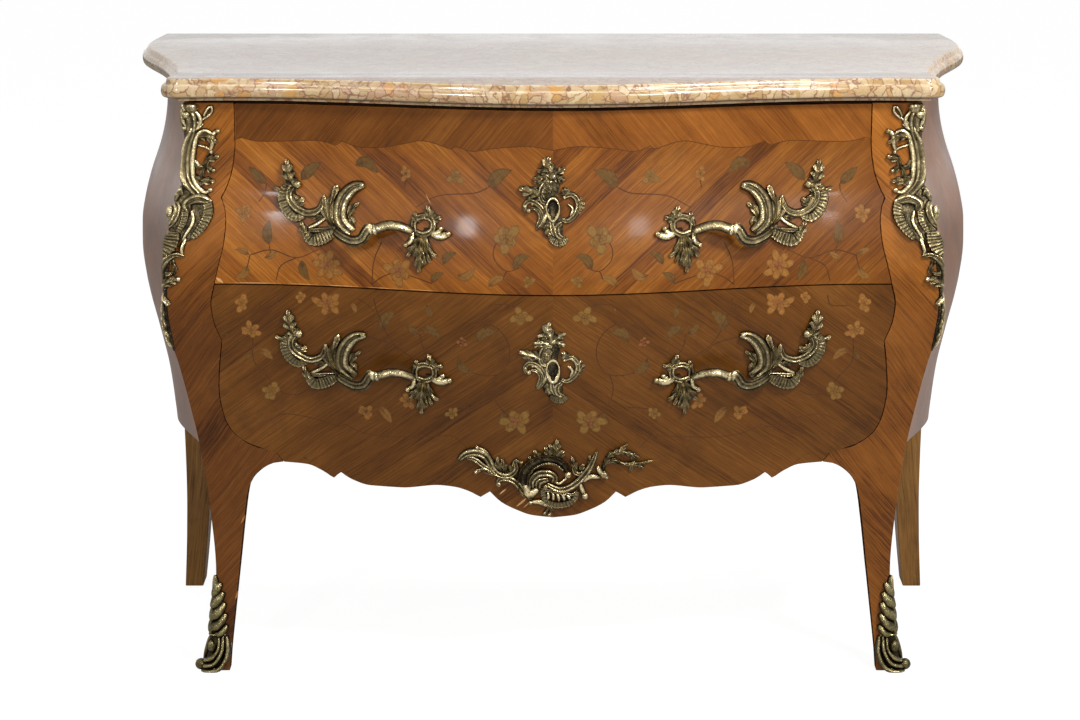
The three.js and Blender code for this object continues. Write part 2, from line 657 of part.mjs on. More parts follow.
// The same round a front corner: across runs from the side, past the corner, to the front
const cornerShare = 0.14; // share of the width that lies on the side
const cornerRoundShare = 0.16; // share over which a casting's depth turns from the front to the side
function onCorner(bottom, top, reach) {
  const round = reach * cornerRoundShare;
  return {
    flat: (u, v) => [(u - cornerShare) * reach, bottom + v * (top - bottom)],
    solid: (s, z, h) => {
      const turn = (Math.PI / 4) * (1 - Math.min(Math.max(s / round, -1), 1));
      const base = s >= 0
        ? point(cornerX(z) - s, frontY(cornerX(z) - s, z), z)
        : point(sideX(cornerY(z) - s, z), cornerY(z) - s, z);
      return base.add(point(h * Math.sin(turn), -h * Math.cos(turn), 0));
    },
  };
}

// Handle, drawn for the left of a drawer: its big scroll is at the outer end.
const handleScrollShares = [
  { at: [[0.08, 0.99], [0.12, 0.9], [0.1, 0.8], [0.1, 0.7]], width: 2.44, ends: [0.1, 0.6] },
  { at: [[0, 0.77], [0.05, 0.74], [0.1, 0.68]], width: 1.11, ends: [0.2, 0.6] },
  { at: [[0.14, 0.77], [0.09, 0.7], [0.09, 0.6], [0.14, 0.53], [0.21, 0.51], [0.27, 0.55],
    [0.29, 0.62]], width: 1.44, steps: 5 },
  { at: [[0.05, 0.69], [0.05, 0.58], [0.11, 0.49], [0.2, 0.5]], width: 1.56, crest: 0.67 },
  { at: [[0.36, 0.36], [0.31, 0.47], [0.285, 0.58], [0.29, 0.68]], width: 1.89, ends: [0.7, 0.15] },
  { at: [[0.37, 0.36], [0.335, 0.5], [0.33, 0.63], [0.365, 0.76]],
    width: 1.89, crest: 1.33, ends: [0.7, 0.15] },
  { at: [[0.39, 0.34], [0.385, 0.5], [0.41, 0.66], [0.46, 0.76], [0.51, 0.77]],
    width: 2.22, crest: 1.56, ends: [0.7, 0.2], steps: 4 },
  { at: [[0.36, 0.34], [0.29, 0.28], [0.21, 0.27], [0.18, 0.34], [0.16, 0.44]],
    width: 2.22, ends: [0.6, 0.15], steps: 4 },
  { at: [[0.27, 0.54], [0.24, 0.46], [0.22, 0.38]], width: 0.89, ends: [0.7, 0.7] },
  { at: [[0.79, 0.42], [0.8, 0.33], [0.77, 0.25], [0.73, 0.25]], width: 1.22 },
  { at: [[0.8, 0.36], [0.8, 0.45], [0.83, 0.49], [0.88, 0.47], [0.9, 0.41], [0.87, 0.34], [0.82, 0.33]],
    width: 1, steps: 5, ends: [0.8, 0.8] },
  { at: [[0.87, 0.37], [0.93, 0.35], [0.99, 0.36]], width: 1.56, ends: [0.7, 0.6] },
  { at: [[0.83, 0.36], [0.81, 0.22], [0.765, 0.14]], width: 1.56, ends: [0.8, 0.2] },
  { at: [[0.84, 0.36], [0.825, 0.18], [0.828, 0.01]], width: 1.89, crest: 1.11, ends: [0.8, 0.1] },
  { at: [[0.86, 0.36], [0.885, 0.22], [0.925, 0.13]], width: 1.33, ends: [0.8, 0.3] },
];
const gripShares = [[0.38, 0.36], [0.43, 0.29], [0.49, 0.3], [0.53, 0.36], [0.58, 0.42], [0.66, 0.44],
  [0.74, 0.42], [0.82, 0.36]];
const gripWidth = 15;
const gripEndShare = 0.7; // width of the grip at its ends
const gripFullness = 0.5; // how soon it rises to its lift
const gripSteps = 9;
const studShares = [[0.385, 0.4], [0.835, 0.37]];

// Escutcheon, apron mount, corner mount and sabot
const escutcheonScrollShares = [
  { at: [[0.477, 1], [0.46, 0.86], [0.52, 0.72], [0.55, 0.6]], width: 1.67, ends: [0.1, 0.8] },
  { at: [[0.7, 0.82], [0.66, 0.72], [0.58, 0.6]], width: 1.33, ends: [0.2, 0.8] },
  { at: [[0, 0.66], [0.12, 0.62], [0.28, 0.6], [0.5, 0.52]], width: 1.44, ends: [0.1, 0.8] },
  { at: [[0.09, 0.45], [0.2, 0.47], [0.33, 0.42], [0.37, 0.32], [0.28, 0.2]],
    width: 1.22, ends: [0.6, 0.6] },
  { at: [[0.34, 0.44], [0.42, 0.46]], width: 1.33, ends: [0.9, 0.9] },
  { at: [[0.62, 0.58], [0.8, 0.58], [0.99, 0.51], [0.93, 0.4], [0.8, 0.32], [0.68, 0.3]],
    width: 1.22, ends: [0.8, 0.6], steps: 4 },
  { at: [[0.5, 0.32], [0.4, 0.24], [0.3, 0.18], [0.24, 0.1]], width: 1.56, ends: [0.9, 0.2] },
  { at: [[0.6, 0.32], [0.62, 0.16], [0.625, 0]], width: 1.67, ends: [0.9, 0.1] },
  { at: [[0.64, 0.33], [0.74, 0.2], [0.76, 0.06]], width: 1.44, ends: [0.9, 0.2] },
];
const keyPlateWidth = 27;
const keyPlateHeight = 40;
const keyPlateLift = 9;
const escutcheonShift = -4.3;
const escutcheonRise = 8.6;
const apronScrollShares = [
  { at: [[0.561, 0.556], [0.54, 0.68], [0.475, 0.757], [0.396, 0.737], [0.341, 0.596], [0.326, 0.414],
    [0.357, 0.273]], width: 1.67, ends: [0.7, 0.5], steps: 5 },
  { at: [[0.43, 0.74], [0.47, 0.86], [0.506, 1]], width: 1.56, ends: [0.9, 0.1] },
  { at: [[0.35, 0.5], [0.42, 0.5], [0.49, 0.535], [0.55, 0.56]], width: 1.11, ends: [0.9, 0.9] },
  { at: [[0.36, 0.3], [0.43, 0.36], [0.52, 0.36], [0.616, 0.313]], width: 1.56, ends: [0.8, 0.4] },
  { at: [[0.42, 0.34], [0.45, 0.2], [0.459, 0.03]], width: 1.89, ends: [0.9, 0.2] },
  { at: [[0.35, 0.3], [0.39, 0.18], [0.41, 0.06]], width: 1.56, ends: [0.9, 0.2] },
  { at: [[0.106, 0.909], [0.12, 0.74], [0.19, 0.6], [0.278, 0.545], [0.34, 0.6]],
    width: 1.33, ends: [0.1, 0.9] },
  { at: [[0, 0.757], [0.08, 0.66], [0.19, 0.58]], width: 1.33, ends: [0.1, 0.9] },
  { at: [[0.318, 0.75], [0.3, 0.62], [0.26, 0.53], [0.21, 0.43], [0.26, 0.37], [0.34, 0.36]],
    width: 1.33, ends: [0.3, 0.9], steps: 4 },
  { at: [[0.47, 0.394], [0.584, 0.394], [0.655, 0.515], [0.702, 0.697], [0.718, 0.869]],
    width: 1.56, ends: [0.8, 0.2], steps: 4 },
  { at: [[0.67, 0.55], [0.741, 0.64], [0.796, 0.79], [0.867, 0.949]], width: 1.33, ends: [0.9, 0.1] },
  { at: [[0.68, 0.53], [0.76, 0.55], [0.82, 0.62], [0.93, 0.76], [1, 0.73]],
    width: 1.33, ends: [0.9, 0.2] },
  { at: [[0.82, 0.62], [0.882, 0.56], [0.93, 0.6]], width: 1.22, ends: [0.8, 0.2] },
];
const apronBeadShares = [[[0.561, 0.556], 0.78], [[0.749, 0.55], 0.78]];
const apronMountShift = -3;
const cornerScrollShares = [
  { at: [[0.54, 1.02], [0.5, 0.96], [0.48, 0.88]], width: 2.44, ends: [0.5, 0.8] },
  { at: [[0.95, 0.985], [0.75, 0.97], [0.55, 0.9]], width: 1.33, ends: [0.4, 0.8] },
  { at: [[0.25, 0.96], [0.36, 0.92], [0.5, 0.87]], width: 1.33, ends: [0.2, 0.9] },
  { at: [[0.94, 0.886], [0.69, 0.9], [0.54, 0.85], [0.46, 0.75], [0.52, 0.665], [0.71, 0.636],
    [0.84, 0.643]], width: 1.56, ends: [0.8, 0.8], steps: 5 },
  { at: [[0.5, 0.81], [0.7, 0.8], [0.94, 0.8]], width: 1.11, ends: [0.9, 0.2] },
  { at: [[0.48, 0.745], [0.7, 0.735], [0.88, 0.72]], width: 1.11, ends: [0.9, 0.2] },
  { at: [[0.6, 0.65], [0.8, 0.59], [0.78, 0.52], [0.6, 0.46], [0.4, 0.43]],
    width: 1.44, ends: [0.8, 0.7] },
  { at: [[0.52, 0.67], [0.34, 0.62], [0.18, 0.6], [0.1, 0.53], [0.18, 0.46], [0.36, 0.44]],
    width: 1.78, ends: [0.8, 0.8], steps: 4 },
  { at: [[0.34, 0.6], [0.28, 0.53], [0.32, 0.45]], width: 2.22, crest: 1.33, ends: [0.6, 0.8] },
  { at: [[0.38, 0.46], [0.26, 0.41], [0.14, 0.34]], width: 2.11, ends: [0.9, 0.6] },
  { at: [[0.42, 0.45], [0.46, 0.38], [0.4, 0.3], [0.22, 0.24], [0.08, 0.2]],
    width: 1.44, ends: [0.8, 0.7] },
  { at: [[0.26, 0.42], [0.2, 0.3], [0.22, 0.2], [0.26, 0.1], [0.32, 0]],
    width: 1.67, ends: [0.7, 0.3], steps: 5 },
  { at: [[0.16, 0.2], [0.3, 0.15], [0.36, 0.08]], width: 1.22, ends: [0.9, 0.2] },
];
const sabotScrollShares = [
  { at: [[0.42, 1], [0.36, 0.8], [0.3, 0.6], [0.34, 0.4], [0.3, 0.2]], width: 1.44, ends: [0.1, 1] },
  { at: [[0.72, 0.86], [0.5, 0.78], [0.36, 0.7]], width: 1.33, ends: [0.2, 0.9] },
  { at: [[-0.05, 0.72], [0.14, 0.66], [0.3, 0.58]], width: 1.33, ends: [0.2, 0.9] },
  { at: [[0.84, 0.6], [0.55, 0.54], [0.34, 0.46]], width: 1.44, ends: [0.2, 0.9] },
  { at: [[-0.1, 0.46], [0.12, 0.42], [0.32, 0.36]], width: 1.33, ends: [0.2, 0.9] },
  { at: [[0.62, 0.34], [0.3, 0.3], [0.02, 0.2], [0.1, 0.04], [0.5, 0.06], [0.8, 0.12]],
    width: 1.89, crest: 1.33, ends: [0.6, 0.5], steps: 4 },
  { at: [[0.3, 0.32], [0.26, 0.2], [0.3, 0.06]], width: 2.67, crest: 1.22, ends: [0.9, 0.9] },
];

// Studs hold a handle: they run through the drawer front to nuts behind it.
function studsOf(place) {
  return studShares.map(([u, v]) => {
    const [x, z] = place.flat(u, v);
    const front = frontY(x, z);
    const nutSeat = front + drawerFrontThickness - nutSeatDepth;
    return { x, z, front, nutSeat };
  });
}
const rodSides = 10;
const nutSides = 6;
const holeSides = 12;
const plateSides = 16;
function rod(x, z, radius, y0, y1, sides = rodSides) {
  return new THREE.CylinderGeometry(radius, radius, y1 - y0, sides).translate(x, halfway(y0, y1), z);
}
function handle(place, seat) {
  const studs = studsOf(place);
  const curve = new THREE.CatmullRomCurve3(gripShares.map(([u, v]) => point(...place.flat(u, v), 0)));
  const grip = spread(0, 1, gripSteps).map((t) => {
    const at = curve.getPointAt(t);
    const along = curve.getTangentAt(t);
    const rise = Math.max(0, Math.sin(Math.PI * t)) ** gripFullness;
    const bottom = gripLift * rise - castSink * (1 - rise);
    const half = (gripWidth / 2) * (gripEndShare + (1 - gripEndShare) * rise);
    const across = (share, height) =>
      place.solid(at.x - along.y * half * share, at.y + along.x * half * share, height);
    const top = bottom + gripThickness;
    const middle = halfway(bottom, top);
    return [across(-1 / 2, bottom), across(-1, middle), across(-1 / 2, top), across(1 / 2, top),
      across(1, middle), across(1 / 2, bottom)];
  });
  const bodyOf = [...handleScrollShares.map((s) => scroll(place, s)), loft(grip, flatOf(grip))];
  const casting = join(bodyOf).subtract(solidOf(seat));
  return geometryOf(studs.reduce((solid, s) =>
    solid.add(solidOf(rod(s.x, s.z, studRadius, s.front - castHeight / 2, s.nutSeat + studTail))), casting));
}
function nut({ x, z, nutSeat }) {
  const body = rod(x, z, nutRadius, nutSeat + seatGap, nutSeat + seatGap + nutThickness, nutSides);
  const holeEnd = nutSeat + nutThickness + cutOverrun;
  return cut(body, rod(x, z, studRadius + studClearance, nutSeat - cutOverrun, holeEnd));
}

// Keyhole: a round hole with a slot below it, for cutting
function keyhole(z, y0, y1) {
  const roundMiddle = z + keyholeHeight / 2 - keyholeRadius;
  const round = rod(0, roundMiddle, keyholeRadius, y0, y1, holeSides);
  const slot = block([-keyWayWidth / 2, keyWayWidth / 2], [y0, y1], [z - keyholeHeight / 2, roundMiddle]);
  return geometryOf(join([round, slot]));
}
function casting(place, scrolls, seat, beads = []) {
  const scrolled = scrolls.map((s) => scroll(place, s));
  const pieces = [...scrolled, ...beads.map(([at, radiusShare]) => bead(place, at, radiusShare))];
  return geometryOf(join(pieces).subtract(solidOf(seat)));
}
function escutcheon(place, seat, z) {
  const front = frontY(0, z);
  const plate = new THREE.CylinderGeometry(1, 1, keyPlateLift + castSink, plateSides)
    .scale(keyPlateWidth / 2, 1, keyPlateHeight / 2)
    .translate(0, front - (keyPlateLift - castSink) / 2, z);
  const whole = join([casting(place, escutcheonScrollShares, seat), cut(plate, seat)]);
  const hole = keyhole(z, front - keyPlateLift - cutOverrun, front + cutOverrun);
  return geometryOf(whole.subtract(solidOf(hole)));
}

// A line of [x, z] points moved outwards, away from the middle of the chest
const mitreLimit = 0.5;
function outwardOf(line, distance) {
  return line.map(([x, z], i) => {
    const [ax, az] = line[Math.max(0, i - 1)];
    const [bx, bz] = line[Math.min(line.length - 1, i + 1)];
    const before = Math.atan2(z - az, x - ax);
    const after = Math.atan2(bz - z, bx - x);
    const first = i === 0 ? after : before;
    const last = i === line.length - 1 ? before : after;
    const turn = (first + last) / 2;
    const reach = distance / Math.max(mitreLimit, Math.cos((last - first) / 2));
    return [x + Math.sin(turn) * reach, z - Math.cos(turn) * reach];
  });
}
// A drawer front. Its outline follows the opening with a running gap, and rises from the floor of
// the front (the joint or the apron) to its top. Its back is a plainer copy of its face.
function frontPanel({ places, low, top, sideRange, grow }) {
  const heights = placesAlong(openingEdgeShares, frontStepShare).map((share) => share * carcassTop)
    .filter((z) => z > sideRange[0] + drawerGap && z < sideRange[1] - drawerGap);
  const opening = [sideRange[0], ...heights, sideRange[1]].map((z) => [openingEdge(z), z]);
  const edge = outwardOf(opening, -drawerGap);
  const first = edge[0][1];
  const last = edge[edge.length - 1][1];
  const rise = edge.map(([, z]) => (z - first) / (last - first));
  const edgeAt = straightThrough(rise.map((r, i) => [r, edge[i][0]]));
  const at = (u, r, depth, ease) => {
    const x = u * (edgeAt(r) - ease);
    const floor = low(u * edge[0][0]);
    const z = floor + (top - floor) * r;
    return point(x, frontY(x, z) + depth, z);
  };
  const rings = places.map((u) => [
    ...rise.map((r) => at(u, r, -grow, 0)),
    ...rise.map((r) => at(u, r, drawerFrontThickness, backEase)).reverse(),
  ]);
  return loft(rings, flatYZ);
}
function straightThrough(points) {
  return (at) => {
    const i = Math.min(Math.max(0, points.findIndex(([p]) => p >= at) - 1), points.length - 2);
    const [[a, va], [b, vb]] = [points[i], points[i + 1]];
    return va + ((vb - va) * (at - a)) / (b - a);
  };
}

function drawer({ name, panel, keyHeight, lockY, handleMiddle, boxBottom, boxTop, lockTop, boltTop }) {
  const face = panel(0);
  const seat = panel(seatGap);
  const place = onFront(-handleSpacing / 2, handleMiddle, handleWidth, handleHeight);
  const studs = studsOf(place);
  const boltMiddle = lockY + lockCaseDepth / 2;
  const boltY = [boltMiddle - boltThickness / 2, boltMiddle + boltThickness / 2];

  // Front with its lock block, keyhole, stud holes and nut seats
  const lockBottom = keyHeight - lockCaseHeight / 2 - lockBlockMargin;
  const lockBlock = block([-lockCaseWidth / 2 - lockBlockMargin, lockCaseWidth / 2 + lockBlockMargin],
    [frontY(0, keyHeight) + drawerFrontThickness / 2, lockY], [lockBottom, lockTop]);
  const holes = studs.flatMap((s) => [s, { ...s, x: -s.x }]).flatMap((s) => [
    rod(s.x, s.z, studRadius + studClearance, s.front - cutOverrun, s.nutSeat + cutOverrun),
    rod(s.x, s.z, nutRadius + drawerGap, s.nutSeat, s.nutSeat + drawerFrontThickness, holeSides),
  ]);
  const blocked = solidOf(face).add(solidOf(lockBlock));
  const keyCut = keyhole(keyHeight, frontY(0, keyHeight) - drawerFrontThickness, lockY + cutOverrun);
  const front = [keyCut, ...holes].reduce((solid, tool) => solid.subtract(solidOf(tool)), blocked);
  add(name + '_front', geometryOf(front), veneer);

  // Box: two sides, a back and a bottom
  const inner = boxHalf - drawerSideThickness;
  const behind = (x, z) => frontY(x, z) + drawerFrontThickness + boxFrontGap;
  const sideRings = spread(boxBottom, boxTop, heightSteps).map((z) => [
    point(inner, behind(inner, z), z), point(boxHalf, behind(boxHalf, z), z),
    point(boxHalf, drawerBoxRear, z), point(inner, drawerBoxRear, z)]);
  addPair(name + '_side', loft(sideRings, flatXY), rawWood);
  const inside = inner - seatGap;
  const backFront = drawerBoxRear - drawerSideThickness;
  add(name + '_back', block([-inside, inside], [backFront, drawerBoxRear], [boxBottom, boxTop]), rawWood);
  const floor = [boxBottom + drawerBottomInset, boxBottom + drawerBottomInset + drawerBottomThickness];
  const bottomEdge = spread(-inside, inside, frontEdgeSteps)
    .map((x) => [x, Math.max(...floor.map((z) => behind(x, z)))]);
  add(name + '_bottom', board([...bottomEdge, [inside, backFront - seatGap], [-inside, backFront - seatGap]],
    ...floor), rawWood);

  // Lock: a case screwed to the block, and the bolt that slides up out of it
  const caseHalf = lockCaseWidth / 2;
  const caseY = [lockY + seatGap, lockY + seatGap + lockCaseDepth];
  const caseZ = [keyHeight - lockCaseHeight / 2, keyHeight + lockCaseHeight / 2];
  const within = ([low, high]) => [low + lockPlate, high - lockPlate];
  const hollow = block(within([-caseHalf, caseHalf]), within(caseY), within(caseZ));
  const rodSlot = block([-boltRodWidth / 2 - boltClearance, boltRodWidth / 2 + boltClearance],
    [boltY[0] - boltClearance, boltY[1] + boltClearance], [keyHeight, caseZ[1] + cutOverrun]);
  const keyCutEnd = caseY[0] + lockPlate + boltClearance;
  add(name + '_lock_case', cut(block([-caseHalf, caseHalf], caseY, caseZ), hollow, rodSlot,
    keyhole(keyHeight, caseY[0] - cutOverrun, keyCutEnd)), iron);
  const boltFoot = keyHeight + keyholeHeight / 2 + boltClearance;
  const headTop = caseZ[1] - lockPlate - boltThrow - drawerGap;
  const bolt = join([block([-boltWidth / 2, boltWidth / 2], boltY, [boltFoot, headTop]),
    block([-boltRodWidth / 2, boltRodWidth / 2], boltY, [boltFoot, boltTop])]);
  add(name + '_lock_bolt', geometryOf(bolt), iron);

  // Mounts
  addPair(name + '_handle', handle(place, seat), giltBronze, 'left');
  addPair(name + '_handle_nut_outer', nut(studs[0]), iron, 'left');
  addPair(name + '_handle_nut_inner', nut(studs[1]), iron, 'left');
  const keyPlace = onFront(escutcheonShift, keyHeight + escutcheonRise, escutcheonWidth, escutcheonHeight);
  add(name + '_escutcheon', escutcheon(keyPlace, seat, keyHeight), giltBronze);
  return seat;
}

const upperPanel = (grow) => frontPanel({
  places: spread(-1, 1, frontEdgeSteps),
  low: () => drawerJointHeight + drawerGap,
  top: postTop - drawerGap,
  sideRange: [drawerJointHeight, postTop],
  grow,
});
const apronTip = apronTipShare * halfSpan;
const apronPlaces = placesAlong(apronEdgeShares, apronStepShare).map((share) => share / apronTipShare);
const lowerPanel = (grow) => frontPanel({
  places: [...apronPlaces.slice(1).map((u) => -u).reverse(), ...apronPlaces],
  low: (x) => apronEdge(x),
  top: drawerJointHeight - drawerGap,
  sideRange: [apronEdge(apronTip), drawerJointHeight],
  grow,
});

drawer({
  name: 'upper_drawer',
  panel: upperPanel,
  keyHeight: upperKeyHeight,
  lockY: upperLockY(),
  handleMiddle: upperHandleHeight,
  boxBottom: dividerTop + runningGap,
  boxTop: postTop - drawerHeadroom,
  lockTop: postTop - drawerGap,
  boltTop: topRailBottom - boltTopGap,
});
const lowerSeat = drawer({
  name: 'lower_drawer',
  panel: lowerPanel,
  keyHeight: lowerKeyHeight,
  lockY: lowerLockY(),
  handleMiddle: lowerHandleHeight,
  boxBottom: lowerRunnerTop + runningGap,
  boxTop: drawerJointHeight - lowerHeadroom,
  lockTop: dividerBottom - drawerGap,
  boltTop: dividerBottom - boltTopGap,
});
const apronPlace = onFront(apronMountShift, apronMountCentre, apronMountWidth, apronMountHeight);
add('apron_mount', casting(apronPlace, apronScrollShares, lowerSeat, apronBeadShares), giltBronze);

// Corner mounts and sabots on the front posts
{
  const seat = frontPost(seatGap);
  const corner = onCorner(cornerMountBottom, cornerMountTop, cornerMountReach);
  const slab = block([0, overallHeight], [-overallHeight, 0], [cornerMountTop, overallHeight]);
  addPair('corner_mount', cut(casting(corner, cornerScrollShares, seat), slab), giltBronze);
  const foot = onCorner(0, sabotHeight, sabotReach);
  const floor = block([0, overallHeight], [-overallHeight, 0], [-overallHeight, 0]);
  addPair('sabot', cut(casting(foot, sabotScrollShares, seat), floor), giltBronze);
}

// The origin is under the middle of the slab.
commode.traverse((piece) => {
  if (piece.isMesh) piece.geometry.computeVertexNormals();
});
const box = new THREE.Box3().setFromObject(commode);
const centred = new THREE.Group();
commode.position.y = -(box.min.y + box.max.y) / 2;
centred.add(commode);
export default centred;
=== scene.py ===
"""The looks of a serpentine commode chest: veneer, marquetry, marble and gilt casts round its frame.
Shapes are worked out in millimetres, with the back of the carcass at y = 0, and set down in metres."""

import math

import bmesh
import bpy
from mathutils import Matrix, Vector


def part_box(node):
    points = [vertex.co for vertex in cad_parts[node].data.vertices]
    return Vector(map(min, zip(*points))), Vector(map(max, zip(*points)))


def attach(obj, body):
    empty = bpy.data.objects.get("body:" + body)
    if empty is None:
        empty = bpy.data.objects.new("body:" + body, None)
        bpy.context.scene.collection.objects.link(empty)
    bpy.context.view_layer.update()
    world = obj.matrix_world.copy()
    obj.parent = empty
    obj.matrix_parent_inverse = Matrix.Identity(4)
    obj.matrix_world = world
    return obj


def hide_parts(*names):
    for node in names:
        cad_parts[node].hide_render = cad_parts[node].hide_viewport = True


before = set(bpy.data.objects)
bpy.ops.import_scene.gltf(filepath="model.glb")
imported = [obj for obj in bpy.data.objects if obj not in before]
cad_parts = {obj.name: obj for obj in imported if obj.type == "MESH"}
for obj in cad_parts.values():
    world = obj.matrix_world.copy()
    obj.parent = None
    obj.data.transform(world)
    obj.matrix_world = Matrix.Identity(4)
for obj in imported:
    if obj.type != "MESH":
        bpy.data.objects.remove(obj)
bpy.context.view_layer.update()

MM = 0.001
SIDES = ("right", "left")


def top_of(node):
    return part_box(node)[1]


# Sizes of the carcass, in millimetres
BACK_PLANE = top_of("back_board_upper").y / MM  # where the back of the carcass stands in the frame
OVERALL_HEIGHT = top_of("marble_top").z / MM
CARCASS_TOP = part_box("marble_top")[0].z / MM
POST_TOP = top_of("back_board_upper").z / MM
CORNER_SPAN = 1032
REAR_SPAN = 1160
CARCASS_DEPTH = 480
FRONT_SWEEP = 72
SWEEP_HALF = 450
FRONT_BELLY = 34
CORNER_BELLY = 27
REAR_BELLY = 45
HALF_SPAN = CORNER_SPAN / 2
SEAT_GAP = 0.3
DRAWER_GAP = 1
DRAWER_JOINT = 582
FRONT_THICKNESS = 28
BACK_EASE = 3
APRON_TIP = 0.748

# Slab
MARBLE_OVERHANG = 20
MARBLE_BACK = 30
FLANK_OUT = 21
FLANK_PLACE = 70
FLANK_LENGTH = 225
EAR_OUT = 10
EAR_FORWARD = 5
EAR_LENGTH = 60
EAR_RADIUS = 26
MARBLE_EDGE = 11

# Posts and panels
POST_THICKNESS = 30
POST_SIDE = 70
REAR_POST_DEPTH = 50
REAR_POST_WIDTH = 50
REAR_FOOT_WIDTH = 27
PANEL_THICKNESS = 18
LEG_START = 0.385
LEG_BLEND = 0.06
LEG_THICKNESS = 0.72
LEG_CORNER = 0.08
SIDE_START = 0.05
SIDE_TURN = 0.78
SIDE_RETURN = 0.04

# Keyholes, handles and casts
KEYHOLE_RADIUS = 4
KEYHOLE_HEIGHT = 17
KEY_WAY = 4.6
UPPER_KEY = 700
LOWER_KEY = 473
HANDLE_SIZE = (246, 158)
HANDLE_MIDDLE = -258
UPPER_HANDLE = 688
LOWER_HANDLE = 479
ESCUTCHEON_SIZE = (91, 126)
ESCUTCHEON_SHIFT = (-4.3, 8.6)
APRON_SIZE = (270, 116)
APRON_MIDDLE = (-3, 306)
CORNER_MOUNT = (470, 834, 58)
SABOT = (0, 138, 34)
GRIP_LIFT = 22
STUD_RADIUS = 2.5
STUD_REACH = 40
STUD_PLACES = ((385, 400), (835, 370))  # in thousandths of the box of the handle
NUT_RADIUS = 6
NUT_SEAT = 6

# Swell of the front at its middle, as (share of the height, share of the swell)
FRONT_BOW = (
    (1, 0), (0.93, 0.06), (0.833, 0.41), (0.762, 0.82), (0.702, 1), (0.643, 0.97), (0.571, 0.65),
    (0.5, 0.18), (0.43, -0.35), (0.357, -0.82), (0.29, -1.12), (0, -1.3),
)
# The same at its corners
CORNER_BOW = (
    (1, 0), (0.93, -0.1), (0.857, 0.1), (0.81, 0.5), (0.762, 0.82), (0.714, 0.97), (0.655, 1),
    (0.595, 0.82), (0.56, 0.55), (0.482, 0.05), (0.4, -0.4), (0.28, -0.82), (0.18, -1), (0.083, -0.85),
    (0, -0.45),
)
# The same of the sides, near the back
REAR_BOW = (
    (1, 0), (0.94, 0.05), (0.905, 0.14), (0.87, 0.3), (0.82, 0.62), (0.774, 0.85), (0.732, 0.98),
    (0.685, 1), (0.63, 0.89), (0.59, 0.75), (0.548, 0.57), (0.512, 0.42), (0.464, 0.24), (0.405, 0.11),
    (0.345, 0.02), (0.2, -0.02), (0.107, 0.02), (0, 0.12),
)
# Edge of the drawer opening and then of the leg, as runs of (height share, half-span share)
OPENING_EDGE = (
    ((1, 0.862), (0.93, 0.862), (0.886, 0.87), (0.855, 0.886), (0.837, 0.901)),
    ((0.837, 0.901), (0.82, 0.891), (0.802, 0.888), (0.767, 0.893), (0.726, 0.909), (0.693, 0.922),
     (0.662, 0.932), (0.632, 0.926), (0.596, 0.905)),
    ((0.596, 0.905), (0.558, 0.914), (0.506, 0.92), (0.458, 0.909), (0.432, 0.89), (0.412, 0.855),
     (0.401, 0.82), (0.396, 0.773)),
    ((0.396, 0.773), (0.376, 0.748)),
    ((0.376, 0.748), (0.373, 0.776), (0.362, 0.808), (0.345, 0.834), (0.322, 0.85), (0.268, 0.864),
     (0.192, 0.879), (0.124, 0.892), (0.033, 0.908), (0, 0.912)),
)
# Lower edge of the apron, as runs of (half-span share, height share)
APRON_EDGE = (
    ((0, 0.292), (0.058, 0.296), (0.1, 0.305), (0.143, 0.319), (0.174, 0.338)),
    ((0.174, 0.338), (0.2, 0.327)),
    ((0.2, 0.327), (0.235, 0.338), (0.27, 0.344), (0.312, 0.346), (0.42, 0.338), (0.506, 0.339),
     (0.56, 0.349), (0.589, 0.361)),
    ((0.589, 0.361), (0.609, 0.349)),
    ((0.609, 0.349), (0.64, 0.362), (0.682, 0.373), (0.748, 0.376)),
)
# Depth of a front leg, as (height share, share of the reach of its post)
LEG_DEPTH = (
    (0.4, 1), (0.37, 0.98), (0.345, 0.86), (0.324, 0.74), (0.268, 0.66), (0.192, 0.56), (0.124, 0.5),
    (0.033, 0.44), (0, 0.43),
)
# Lower edge of a side panel, as (share of its length, height share)
SIDE_EDGE = ((0, 0.37), (0.3, 0.364), (0.7, 0.358), (1, 0.352))
# How far a rear leg has its full width, as (height share, share)
REAR_FOOT = ((0.4, 1), (0.345, 0.9), (0.13, 0.3), (0, 0))
# Slab moulding from the underside up, as (share of its depth, share of the thickness)
MARBLE_MOULDING = (
    (1.6, 0), (1.5, 0.12), (0.5, 0.15), (0.12, 0.24), (0, 0.42), (0.04, 0.58), (0.2, 0.7), (0.62, 0.77),
    (0.66, 0.85), (0.78, 0.95), (1, 1),
)


def smooth_through(points):
    """A curve through (place, value) points that keeps their rises and falls."""
    p = sorted(points, key=lambda q: q[0])
    slope = [(b[1] - a[1]) / (b[0] - a[0]) for a, b in zip(p, p[1:])]
    tangent = []
    for i in range(len(p)):
        before = slope[max(i - 1, 0)]
        after = slope[min(i, len(slope) - 1)]
        tangent.append(0 if before * after <= 0 else 2 * before * after / (before + after))

    def at(place):
        x = min(max(place, p[0][0]), p[-1][0])
        i = 0
        while i < len(p) - 2 and p[i + 1][0] < x:
            i += 1
        step = p[i + 1][0] - p[i][0]
        t = (x - p[i][0]) / step
        rise = t * t * (3 - 2 * t)
        bend = step * t * (1 - t) * (tangent[i] * (1 - t) - tangent[i + 1] * t)
        return p[i][1] + (p[i + 1][1] - p[i][1]) * rise + bend

    return at


def along_runs(runs):
    """The same over several runs that meet in points."""
    curves = []
    for run in runs:
        ends = sorted((run[0][0], run[-1][0]))
        curves.append((ends[0], ends[1], smooth_through(run)))

    def at(place):
        inside = [c for c in curves if c[0] <= place <= c[1]]
        if not inside:
            inside = sorted(curves, key=lambda c: min(abs(place - c[0]), abs(place - c[1])))
        return inside[0][2](place)

    return at


